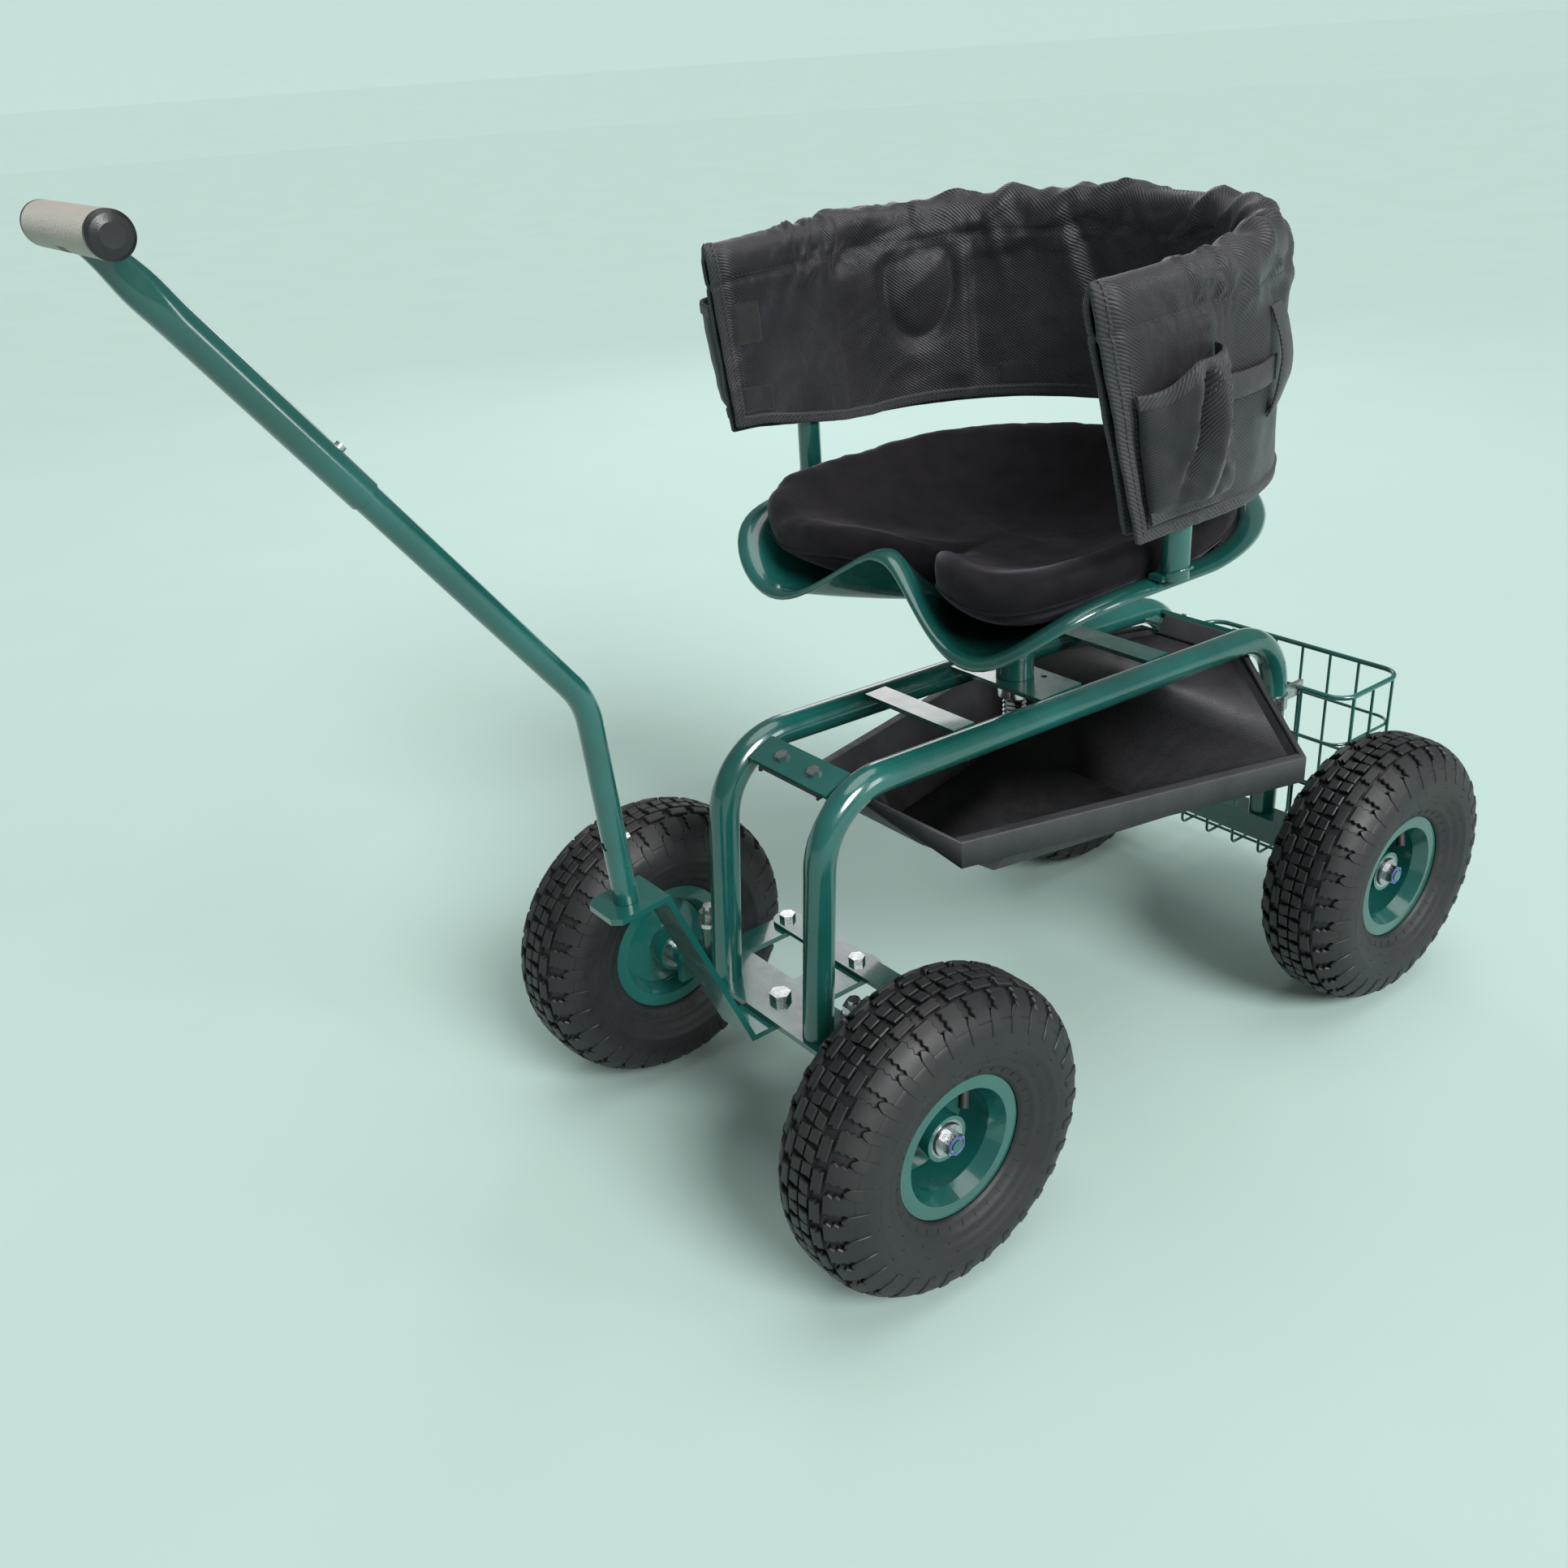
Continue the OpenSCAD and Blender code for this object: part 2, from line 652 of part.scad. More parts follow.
// Kingpin: bolt from below, plain bush and lock nut on top of the boss
bush_h = 4;
lock_nut_h = 9;
pin_end = 5;
module kingpin() {
    bottom = bar_top - bar_t;
    boss_top = plate_z + boss_h + slide_gap;
    translate([kingpin_x, pivot_y, 0]) {
        color(steel) translate([0, 0, bottom - hex_h(pin_d)]) hex_head(pin_d, hex_h(pin_d));
        color(steel) translate([0, 0, bottom - hex_h(pin_d)])
            cylinder(d = pin_d, h = boss_top + bush_h + lock_nut_h + pin_end - bottom + hex_h(pin_d));
        color(black) translate([0, 0, boss_top]) washer(pin_d, boss_r * 1.2, bush_h);
        color(steel) translate([0, 0, boss_top + bush_h]) hex_nut(pin_d, lock_nut_h);
    }
}
module kingpin_left() { kingpin(); }
module kingpin_right() { mirror([1, 0, 0]) kingpin(); }

module front_nut() {
    color(steel) translate([0, front_y, axle_z]) spindle_nut();
}
module front_nut_left() { front_nut(); }
module front_nut_right() { mirror([1, 0, 0]) front_nut(); }

// Bent extension over the stub, and the handle tube over the extension
ext_wall = (ext_d - stub_d) / 2 - run_fit;
ext_foot = stub_c + stub_dir * slide_gap;
ext_knee = stub_c + stub_dir * ext_lower;
upper_dir = [-sin(ext_lean), cos(ext_lean)];
ext_tip = ext_knee + upper_dir * (ext_upper + ext_overlap);
handle_foot = ext_knee + upper_dir * ext_upper;
grip_c = ext_knee + upper_dir * handle_reach;
module stub_frame() {
    translate([0, stub_c[0], stub_c[1]]) rotate([stub_lean, 0, 0]) children();
}
module upper_frame() {
    translate([0, ext_knee[0], ext_knee[1]]) rotate([ext_lean, 0, 0]) children();
}
module steering_extension() {
    color(green)
    difference() {
        stand() bent_tube([ext_foot, ext_knee, ext_tip], ext_bend, ext_d / 2, ext_d / 2 - ext_wall);
        stub_frame() translate([0, -ext_d, stub_len - button_up]) rotate([-90, 0, 0])
            cylinder(r = button_d / 2 + run_fit, h = 2 * ext_d);
        upper_frame() translate([0, 0, ext_upper + ext_overlap / 2]) rotate([-90, 0, 0])
            cylinder(r = button_d / 2 + run_fit, h = ext_d);
    }
}

// Handle tube: round below, pressed flat at the neck, with its cross tube
handle_wall = (handle_d - ext_d) / 2 - run_fit;
neck_foot = handle_reach - cross_d / 4 - neck_len;
module handle_tube() {
    color(green)
    difference() {
        union() {
            upper_frame() translate([0, 0, ext_upper]) cylinder(d = handle_d, h = neck_foot - ext_upper);
            upper_frame() translate([0, 0, neck_foot]) hull() {
                cylinder(d = handle_d, h = neck_t / 4, $fn = 32);
                translate([0, 0, neck_len - neck_t / 4]) scale([neck_t / handle_d, 0.8, 1])
                    cylinder(d = handle_d, h = neck_t / 4, $fn = 32);
            }
            upper_frame() translate([-grip_len / 2, 0, handle_reach]) rotate([0, 90, 0])
                cylinder(d = cross_d, h = grip_len);
        }
        upper_frame() translate([0, 0, ext_upper - over])
            cylinder(r = ext_d / 2 + run_fit, h = ext_overlap + 2 * over);
        upper_frame() translate([0, 0, ext_upper + ext_overlap / 2]) rotate([-90, 0, 0])
            cylinder(r = button_d / 2 + run_fit, h = handle_d);
    }
}

cap_t = 6;
grip_slot = 30;
module handle_grip() {
    color("#cfccc6")
    upper_frame() difference() {
        translate([-grip_len / 2, 0, handle_reach]) rotate([0, 90, 0]) cylinder(d = grip_d, h = grip_len);
        translate([-grip_len / 2 - over, 0, handle_reach]) rotate([0, 90, 0])
            cylinder(r = cross_d / 2 + seat_gap, h = grip_len + 2 * over);
        translate([-neck_t, -grip_slot / 2, handle_reach - grip_d])
            cube([2 * neck_t, grip_slot, grip_d]);
    }
}
module grip_caps() {
    color(black)
    upper_frame() translate([0, 0, handle_reach]) for (s = [0, 1]) mirror([s, 0, 0])
        translate([grip_len / 2 + seat_gap, 0, 0]) rotate([0, 90, 0]) rotate_extrude()
        polygon([[0, 0], [grip_d / 2, 0], [grip_d / 2, cap_t * 0.5],
            [grip_d * 0.42, cap_t * 0.75], [grip_d * 0.25, cap_t], [0, cap_t]]);
}

// Snap buttons: a pin with a shoulder inside the tube's bore
button_out = 2.4;
button_travel = 3.4;
shoulder_over = 0.8;
module snap_pin(bore, tip) {
    seat = sqrt(pow(bore, 2) - pow(button_d / 2 + shoulder_over, 2)) - seat_gap;
    translate([0, 0, seat - button_d * 0.8]) cylinder(d = button_d, h = tip - seat + button_d * 0.8);
    translate([0, 0, seat - button_d * 0.2]) cylinder(r = button_d / 2 + shoulder_over, h = button_d * 0.2);
}
module snap_button() {
    color(steel)
    stub_frame() translate([0, 0, stub_len - button_up]) rotate([-90, 0, 0])
        snap_pin(stub_d / 2 - stub_wall, ext_d / 2 + button_out);
}
module handle_button() {
    color(steel)
    upper_frame() translate([0, 0, ext_upper + ext_overlap / 2]) rotate([-90, 0, 0])
        snap_pin(ext_d / 2 - ext_wall, handle_d / 2 + button_out);
}

// Tyre: an even casing with a flattish tread, open to the rim
crown_share = 0.8;
module tyre_round(inset) {
    hw = tyre_w / 2;
    for (side = [-1, 1])
        translate([tyre_r - hw * crown_share, side * hw * (1 - crown_share)])
        circle(r = hw * crown_share - inset, $fn = 96);
}
module tyre_profile() {
    bead_hw = rim_w / 2 - rim_wall - seat_gap;
    difference() {
        hull() {
            tyre_round(0);
            translate([bead_r + slide_gap, -bead_hw]) square([tyre_wall, 2 * bead_hw]);
        }
        hull() {
            tyre_round(tyre_wall);
            translate([bead_r - over, tyre_wall - bead_hw]) square([tyre_wall, 2 * (bead_hw - tyre_wall)]);
        }
        for (low = [bead_hw, -bead_hw - tyre_w])
            translate([0, low]) square([rim_flange_r + slide_gap, tyre_w]);
    }
}

// Rim: flanges, bead seats and a dished web down to the hub tube
web_x = hub_in - wheel_x + hub_len / 2;
well_depth = 6;
well_slope = 2;
web_step = 3;
dish = 9;
well_r = bead_r - well_depth;
function rim_line() = [
    [rim_flange_r, rim_w / 2], [rim_flange_r, rim_w / 2 - rim_wall],
    [bead_r, rim_w / 2 - rim_wall], [well_r, rim_w / 4], [well_r, -rim_w / 4],
    [bead_r, rim_wall - rim_w / 2], [rim_flange_r, rim_wall - rim_w / 2],
    [rim_flange_r, -rim_w / 2], [bead_r - rim_wall, -rim_w / 2],
    [well_r - rim_wall, -rim_w / 4 - well_slope], [well_r - rim_wall, web_x - web_step],
    [hub_r, web_x - dish], [hub_r, hub_in - wheel_x], [bearing_r + seat_gap, hub_in - wheel_x],
    [bearing_r + seat_gap, hub_out - wheel_x], [hub_r, hub_out - wheel_x],
    [hub_r, web_x - dish + rim_wall], [well_r - rim_wall, web_x - web_step + rim_wall],
    [well_r - rim_wall, rim_w / 4 + well_slope], [bead_r - rim_wall, rim_w / 2]];

// A wheel piece drawn about the Z axis, moved to its axle
module on_wheel(side, y) {
    translate([side * wheel_x, y, axle_z]) rotate([0, side * 90, 0]) children();
}
module tyre(side, y) {
    color(rubber) on_wheel(side, y) rotate_extrude() tyre_profile();
}
module rim(side, y) {
    color(green) on_wheel(side, y)
    difference() {
        rotate_extrude() polygon(rim_line());
        valve_frame() translate([0, 0, -valve_len / 2]) cylinder(r = valve_r + seat_gap, h = 2 * valve_len);
    }
}
module bearings(side, y) {
    color(steel) on_wheel(side, y) for (z = [hub_in - wheel_x, hub_out - wheel_x - bearing_w])
        translate([0, 0, z]) difference() {
            cylinder(r = bearing_r, h = bearing_w);
            translate([0, 0, -over]) cylinder(r = spindle_d / 2 + run_fit, h = bearing_w + 2 * over);
        }
}
valve_turn = 150;
valve_lean = 24;
valve_root = 4;
valve_z = rim_w / 4 - valve_root;
module valve_frame() {
    rotate([0, 0, valve_turn]) translate([bead_r - valve_root, 0, valve_z])
        rotate([0, valve_lean - 90, 0]) children();
}
module valve(side, y) {
    color(black) on_wheel(side, y) valve_frame() cylinder(r = valve_r, h = valve_len);
}
module tyre_front_left() { tyre(1, front_y); }
module tyre_front_right() { tyre(-1, front_y); }
module tyre_rear_left() { tyre(1, rear_y); }
module tyre_rear_right() { tyre(-1, rear_y); }
module rim_front_left() { rim(1, front_y); }
module rim_front_right() { rim(-1, front_y); }
module rim_rear_left() { rim(1, rear_y); }
module rim_rear_right() { rim(-1, rear_y); }
module bearings_front_left() { bearings(1, front_y); }
module bearings_front_right() { bearings(-1, front_y); }
module bearings_rear_left() { bearings(1, rear_y); }
module bearings_rear_right() { bearings(-1, rear_y); }
module valve_front_left() { valve(1, front_y); }
module valve_front_right() { valve(-1, front_y); }
module valve_rear_left() { valve(1, rear_y); }
module valve_rear_right() { valve(-1, rear_y); }

// Threaded post with a plain journal on top, and its nut under the seat plate
post_nut_h = 14;
post_spare = 6;
post_foot = seat_plate_z - seat_gap - post_nut_h - seat_travel - post_spare;
collar_t = 5;
collar_r = sleeve_d / 2 - sleeve_wall - slide_gap;
flange_t = 4;
sleeve_top = pan_z - pan_t - seat_gap - flange_t;
sleeve_foot = seat_plate_top + slide_gap;
journal_r = 8;
journal_len = 42;
collar_z = sleeve_top - journal_len;
thread_top = collar_z;
turns = floor((thread_top - post_foot - thread_pitch) / thread_pitch);
groove = 1.2;
module threaded_post() {
    color(steel)
    translate([0, post_y, 0]) {
        translate([0, 0, post_foot]) rotate_extrude() polygon(concat(
            [[0, 0]],
            [for (i = [0 : turns - 1], q = [0, 1])
                [post_d / 2 - q * groove, (i + q / 2 + 0.25) * thread_pitch]],
            [[post_d / 2, (turns + 0.25) * thread_pitch],
             [post_d / 2, thread_top - post_foot], [0, thread_top - post_foot]]));
        translate([0, 0, collar_z]) cylinder(r = collar_r, h = collar_t);
        translate([0, 0, collar_z]) cylinder(r = journal_r, h = sleeve_top - collar_z - slide_gap);
    }
}
nut_r = 15;
module post_nut() {
    color(steel)
    translate([0, post_y, seat_plate_z - seat_gap - post_nut_h]) difference() {
        cylinder(r = nut_r, h = post_nut_h);
        translate([0, 0, -over]) cylinder(r = post_d / 2 + run_fit, h = post_nut_h + 2 * over);
    }
}
module swivel_bush() {
    color("#e4e2da")
    translate([0, post_y, collar_z + collar_t + slide_gap]) difference() {
        cylinder(r = sleeve_d / 2 - sleeve_wall - seat_gap, h = sleeve_top - collar_z - collar_t - slide_gap - seat_gap);
        translate([0, 0, -over])
            cylinder(r = journal_r + run_fit, h = sleeve_top - collar_z + over);
    }
}
seat_bolt_x = 34;
seat_bolt_y = 24;
seat_bolt_d = 6;
dome_h = 2;
flange_hx = 46;
flange_hy = 36;
module seat_sleeve() {
    color(green)
    translate([0, post_y, 0]) {
        difference() {
            translate([0, 0, sleeve_foot]) cylinder(d = sleeve_d, h = sleeve_top - sleeve_foot);
            translate([0, 0, sleeve_foot - over])
                cylinder(d = sleeve_d - 2 * sleeve_wall, h = sleeve_top - sleeve_foot + over);
        }
        difference() {
            translate([-flange_hx, -flange_hy, sleeve_top]) cube([2 * flange_hx, 2 * flange_hy, flange_t]);
            for (x = [-1, 1], y = [-1, 1])
                translate([x * seat_bolt_x, y * seat_bolt_y, sleeve_top - over])
                cylinder(r = seat_bolt_d / 2 + seat_gap, h = flange_t + 2 * over);
        }
    }
}

// Seat pan: a dished sheet worked out in polar steps about the post
pan_steps = 72;
pan_power = 1.75;
flat_share = 0.27;
front_squareness = 6;
function pan_reach(a, hw, f, b, n) =
    sin(a) >= 0 ? 1 / sqrt(pow(cos(a) / hw, 2) + pow(sin(a) / b, 2)) :
    pow(pow(abs(cos(a)) / hw, n) + pow(abs(sin(a)) / f, n), -1 / n);
pommel_recess = 31;
pommel_share = 0.48;
pommel_round = 14;
function recess(a) = sin(a) >= 0 ? 0 : pommel_recess * exp(-pow(cos(a) / pommel_share, 2));
function pan_r(a) = pan_reach(a, pan_half_w, pan_front, pan_back, front_squareness) - recess(a);
function off_centre(x) = norm([x, pommel_round]) - pommel_round;
function thigh(a) = sin(a) >= 0 ? 0 :
    sin(180 * pow(min(1, off_centre(cos(a) * pan_r(a)) / off_centre(pan_half_w)), 1.1));
function edge_rise(a) =
    pan_side_rise + (sin(a) > 0 ? (pan_back_rise - pan_side_rise) * sin(a) : 0)
    - pan_dip * thigh(a);
function dish(s) = s < flat_share ? 0 : pow((s - flat_share) / (1 - flat_share), pan_power);
function pan_rise(a, s) = edge_rise(a) * dish(s);
function pan_point(a, s, lift) =
    [s * pan_r(a) * cos(a), post_y + s * pan_r(a) * sin(a), pan_z + pan_rise(a, s) + lift];
function edge_point(a, out, lift) =
    [(pan_r(a) + out) * cos(a), post_y + (pan_r(a) + out) * sin(a), pan_z + edge_rise(a) + lift];
pan_rings = [0.27, 0.42, 0.56, 0.68, 0.78, 0.86, 0.93, 1];
function pan_ring(k, lift) = [for (i = [0 : pan_steps - 1]) pan_point(i * 360 / pan_steps, pan_rings[k], lift)];
function edge_ring(out, lift) = [for (i = [0 : pan_steps - 1]) edge_point(i * 360 / pan_steps, out, lift)];

// A closed skin over rings of equal length, capped at the first and last ring
function loft_sides(rings, n) = [
    for (k = [0 : rings - 2], i = [0 : n - 1]) let (
        a = k * n + i, b = k * n + (i + 1) % n, c = a + n, d = b + n)
    each [[a, b, d], [a, d, c]]];
function fan(start, n, flip) = [
    for (i = [1 : n - 2]) flip ? [start, start + i + 1, start + i] : [start, start + i, start + i + 1]];
// The caps of a band: its points run out along one face and back along the other
function band(start, n, flip) = [
    for (i = [0 : n / 2 - 2]) let (
        a = start + i, b = a + 1, c = start + n - 2 - i, d = c + 1)
    each flip ? [[a, c, b], [a, d, c]] : [[a, b, c], [a, c, d]]];
module loft(rings, outward, banded = false) {
    n = len(rings[0]);
    m = len(rings);
    last = (m - 1) * n;
    sides = loft_sides(m, n);
    faces = banded ? concat(sides, band(0, n, true), band(last, n, false)) :
        concat(sides, fan(0, n, true), fan(last, n, false));
    polyhedron(points = [for (r = rings, p = r) p],
        faces = outward ? [for (f = faces) [f[0], f[2], f[1]]] : faces);
}
module seat_pan() {
    top = [for (k = [0 : len(pan_rings) - 1]) pan_ring(k, 0)];
    lip = [edge_ring(pan_edge * 0.5, pan_t * 0.3), edge_ring(pan_edge, -pan_t * 0.6),
        edge_ring(pan_edge, -2.4 * pan_t), edge_ring(pan_edge - pan_t, -2.4 * pan_t),
        edge_ring(pan_edge * 0.5, -pan_t)];
    under = [for (k = [len(pan_rings) - 1 : -1 : 0]) pan_ring(k, -pan_t)];
    color(green)
    difference() {
        loft(concat(top, lip, under), true);
        for (x = [-1, 1], y = [-1, 1])
            translate([x * seat_bolt_x, post_y + y * seat_bolt_y, pan_z - 2 * pan_t])
            cylinder(r = seat_bolt_d / 2 + seat_gap, h = 4 * pan_t, $fn = 24);
    }
}
module seat_bolts() {
    color(steel)
    for (x = [-1, 1], y = [-1, 1]) translate([x * seat_bolt_x, post_y + y * seat_bolt_y, 0]) {
        translate([0, 0, pan_z + seat_gap]) cylinder(r = seat_bolt_d * 0.9, h = dome_h);
        translate([0, 0, sleeve_top - hex_h(seat_bolt_d)])
            cylinder(d = seat_bolt_d, h = pan_z + seat_gap + dome_h / 2 - sleeve_top + hex_h(seat_bolt_d));
        translate([0, 0, sleeve_top - seat_gap - hex_h(seat_bolt_d)]) hex_nut(seat_bolt_d, hex_h(seat_bolt_d));
    }
}

// Cushion: crowned pad on the pan, with a notch in front and drawn-in sides
pad_steps = 60;
pad_rings = [0.25, 0.5, 0.72, 0.88, 0.97, 1];
pad_gap = 0.9;
notch_share = 0.3;
pad_squareness = 4.5;
pad_bridge = 0.6;
function notch_cut(a) = sin(a) >= 0 ? 0 : exp(-pow(cos(a) / notch_share, 2));
function pad_r(a) =
    pan_reach(a, pan_half_w - cushion_margin, cushion_front, pan_back - cushion_margin, pad_squareness)
    - cushion_notch * notch_cut(a);
// The foam is stiffer than the dips under the thighs and bridges part of them
function pad_floor(a, s) =
    (edge_rise(a) + pad_bridge * pan_dip * thigh(a)) * dish(min(1, s * pad_r(a) / pan_r(a))) + pad_gap;
function pad_crown(s) = cushion_t * (0.8 + 0.2 * (1 - pow(s, 4)));
function pad_point(a, s, h) =
    [s * pad_r(a) * cos(a), post_y + s * pad_r(a) * sin(a), pan_z + pad_floor(a, s) + h];
module seat_cushion() {
    steps = [for (i = [0 : pad_steps - 1]) i * 360 / pad_steps];
    under = [for (s = pad_rings) [for (a = steps) pad_point(a, s * 0.985, 0)]];
    side = [for (a = steps) pad_point(a, 1.02, cushion_t * 0.42)];
    tops = [for (k = [len(pad_rings) - 1 : -1 : 0]) let (s = pad_rings[k])
        [for (a = steps) pad_point(a, s * 0.985, pad_crown(s))]];
    color(black)
    difference() {
        loft(concat(under, [side], tops), false);
        for (x = [-1, 1], y = [-1, 1])
            translate([x * seat_bolt_x, post_y + y * seat_bolt_y, pan_z - dome_h])
            cylinder(r = seat_bolt_d * 1.1, h = 2.5 * dome_h, $fn = 24);
    }
}

// Back hoop: two arms and a half-oval round the back, on two posts
hoop_r = hoop_d / 2;
hoop_wall = 1.5;
hoop_half_w = pan_half_w + pan_edge + hoop_stand;
gusset_t = 4;
foot_over = 1.6;
post_foot_z = pan_z + edge_rise(-atan2(post_ahead, hoop_half_w)) + foot_over;
oval_b = hoop_back + hoop_arm;
oval_parts = 5;
oval_half = 90 / oval_parts;
// Corners of the lines that touch the half-oval, with the hoop's middle at the seat post
function oval_corner(i) = let (t = (2 * i + 1) * oval_half)
    [hoop_half_w * cos(t), oval_b * sin(t)] / cos(oval_half) - [0, hoop_arm];
function oval_at(t) = [hoop_half_w * cos(t), oval_b * sin(t) - hoop_arm];
hoop_path = concat([[hoop_half_w, -hoop_front]],
    [for (i = [0 : oval_parts - 1]) oval_corner(i)], [[-hoop_half_w, -hoop_front]]);
function corner_run(i) = min(norm(hoop_path[i] - oval_at((2 * i - 2) * oval_half)),
    norm(hoop_path[i] - oval_at(2 * i * oval_half)));
hoop_bends = [for (i = [0 : oval_parts + 1])
    i == 0 || i > oval_parts ? 0 : 0.96 * corner_run(i) / tan(abs(turn_at(hoop_path, i)) / 2)];
module hoop_frame() {
    translate([0, post_y, hoop_z]) rotate([hoop_tilt, 0, 0]) children();
}
module back_hoop() {
    color(green) hoop_frame() bent_tube(hoop_path, hoop_bends, hoop_r, hoop_r - hoop_wall);
}
foot_hx = hoop_post_d * 0.3;
foot_hy = hoop_post_d * 0.7;
module hoop_posts() {
    color(green)
    for (s = [-1, 1]) {
        difference() {
            translate([s * hoop_half_w, post_y - post_ahead, post_foot_z])
                cylinder(d = hoop_post_d, h = hoop_z - post_foot_z);
            translate([s * hoop_half_w, post_y - post_ahead, post_foot_z + gusset_t])
                cylinder(r = hoop_post_d / 2 - hoop_wall, h = hoop_z - post_foot_z);
            hoop_frame() translate([s * hoop_half_w, 0, 0]) rotate([90, 0, 0])
                cylinder(r = hoop_r + seat_gap, h = 2 * hoop_front, center = true);
        }
        translate([s * (hoop_half_w - foot_hx) - foot_hx, post_y - post_ahead - foot_hy, post_foot_z])
            cube([2 * foot_hx, 2 * foot_hy, gusset_t]);
    }
}

// Cover: one sheet over the hoop, its two panels hanging to the hem
cover_steps = 54;
cover_ahead = 14;
cover_ease = 1.7;
cover_corner = 0.78;
panel_fold = 2;
arm_share = 0.22;
// Place and outward direction of the hoop's line, at a share q of its run from the left end
function hoop_at(q) =
    q < arm_share ? let (k = q / arm_share)
        [hoop_half_w, (k - 1) * (hoop_front - hoop_arm) - hoop_arm, 0] :
    q > 1 - arm_share ? let (k = (1 - q) / arm_share)
        [-hoop_half_w, (k - 1) * (hoop_front - hoop_arm) - hoop_arm, 180] :
    let (t = 180 * (q - arm_share) / (1 - 2 * arm_share))
    [hoop_half_w * cos(t), oval_b * sin(t) - hoop_arm, atan2(hoop_half_w * sin(t), oval_b * cos(t))];
cover_in = hoop_r + cover_ease;
cover_out = cover_in + cover_t;
// Section across the sheet: outward offset and height from the hoop's line,
// with half the gap between the panels at the hem, two ripples and the drop
function cover_section(g, w, v, d) = [
    [g + cover_t + v, -d], [(g + cover_out) / 2 + w + panel_fold, -d * 0.62],
    [cover_out + v / 2, -d * 0.3], [cover_out, 0],
    cover_out * cover_corner * [1, 1] + [0, w / 4], [0, cover_out + w / 2],
    cover_out * cover_corner * [-1, 1] + [0, w / 4], [-cover_out, 0],
    [-cover_out - v / 2, -d * 0.3], [-(g + cover_out) / 2 - panel_fold + w / 2, -d * 0.62],
    [-g - cover_t, -d * 0.97], [-g, -d * 0.97],
    [cover_t - (g + cover_out) / 2 - panel_fold + w / 2, -d * 0.62], [-cover_in - v / 2, -d * 0.3],
    [-cover_in, 0], cover_in * cover_corner * [-1, 1], [0, cover_in], cover_in * cover_corner * [1, 1],
    [cover_in, 0], [cover_in + v / 2, -d * 0.3],
    [(g + cover_out) / 2 + w + panel_fold - cover_t, -d * 0.62], [g + v, -d]];
hem_gap = 3;
post_room = hoop_post_d / 2 + cover_ease;
post_spread = 2.6;
function post_near(q) = exp(-pow((min(q, 1 - q) / arm_share * (hoop_front - hoop_arm) - hoop_front + post_ahead)
    / (post_spread * hoop_post_d), 4));
// How the cover's front ends hang on the left and right: rise of the hem, and its sweep back
end_lift = [4, 22];
end_sweep = [0.2, 0.09];
hem_flare = 6;
function cover_ring(k) = let (
        q = min(1, max(0, (k - 1) / (cover_steps - 2))),
        h = hoop_at(q),
        side = q < 0.5 ? 0 : 1,
        ends = min(1, 4 * min(q, 1 - q)),
        calm = min(1, max(0, 8 * min(q, 1 - q) - 1.5)),
        w = cover_wave * calm * abs(sin(q * 900)),
        v = cover_wave * 0.6 * calm * abs(sin(q * 1260)),
        past = k == 0 || k == cover_steps ? -cover_ahead : 0,
        d = cover_drop - end_lift[side] * (1 - ends),
        g = hem_gap + (post_room - hem_gap) * post_near(q))
    [for (p = cover_section(g, w, v, d)) let (
            deep = max(0, -p[1]) / cover_drop,
            out = p[0] + hem_flare * deep * (1 - post_near(q)),
            back = end_sweep[side] * (1 - ends) * cover_drop * deep)
        [h[0] + cos(h[2]) * out, h[1] + sin(h[2]) * out + past + back, p[1]]];
module back_cover() {
    color(black) hoop_frame() loft([for (k = [0 : cover_steps]) cover_ring(k)], true, true);
}

// Side pockets: bellows bags on the cover's outer panels
pocket_l = 92;
pocket_h = 102;
pocket_back = 8;
pocket_up = 34;
pocket_y = pocket_back - hoop_front;
pocket_z = pocket_up - cover_drop;
pocket_steps = 8;
module pocket(side) {
    x0 = hoop_half_w + cover_out + hem_flare * 0.35 + slide_gap;
    sweep = end_sweep[side > 0 ? 0 : 1];
    color(black) mirror([side > 0 ? 0 : 1, 0, 0]) hoop_frame()
    loft([for (k = [0 : pocket_steps]) let (
            t = k / pocket_steps,
            b = pocket_bulge * (0.35 + 0.65 * sin(20 + 140 * t)),
            z = pocket_z + pocket_h * t)
        [for (q = [[0, 0], [0, 1], [0.7, 0.96], [1, 0.7], [1, 0.3], [0.7, 0.04]])
            [x0 + b * q[0], pocket_y - z * sweep * (0.9 - 0.5 * q[1]) + pocket_l * q[1], z]]], true);
}
module pocket_left() { pocket(1); }
module pocket_right() { pocket(-1); }

// Tool tray: a moulded pan with sloping ends and a turned-down lip
tongue_c = cross_c + seat_gap * [sin(front_turn), -cos(front_turn)];
back_c = rear_c - seat_gap * [sin(rear_turn), cos(rear_turn)];
tongue_run = front_plate_w / 2 * [cos(front_turn), sin(front_turn)];
back_run = rear_plate_w / 2 * [cos(rear_turn), -sin(rear_turn)];
tray_ahead = 163;
tray_behind = 167;
floor_ahead = 95;
floor_behind = 87;
tray_front_y = mid_y - tray_ahead;
tray_rear_y = mid_y + tray_behind;
floor_front_y = mid_y - floor_ahead;
floor_rear_y = mid_y + floor_behind;
tray_floor_z = tray_edge_z - tray_depth;
function edge_hw(y) = tray_front_hw
    + (y - tray_front_y) / (tray_rear_y - tray_front_y) * (tray_rear_hw - tray_front_hw);
function edge_z(y) = tray_edge_z - (y - tray_front_y) / (tray_rear_y - tray_front_y) * tray_edge_fall;
rim_land = 8;
rim_step = 1;
tongue_lip = 5;
flat_in = 10;
tongue_step = 14;
tongue_drop = 22;
top_ahead = 22;
top_drop = 6;
top_dish = 3;
tab_hw = 42;
tab_step = 1.5;
rear_dish = 4;
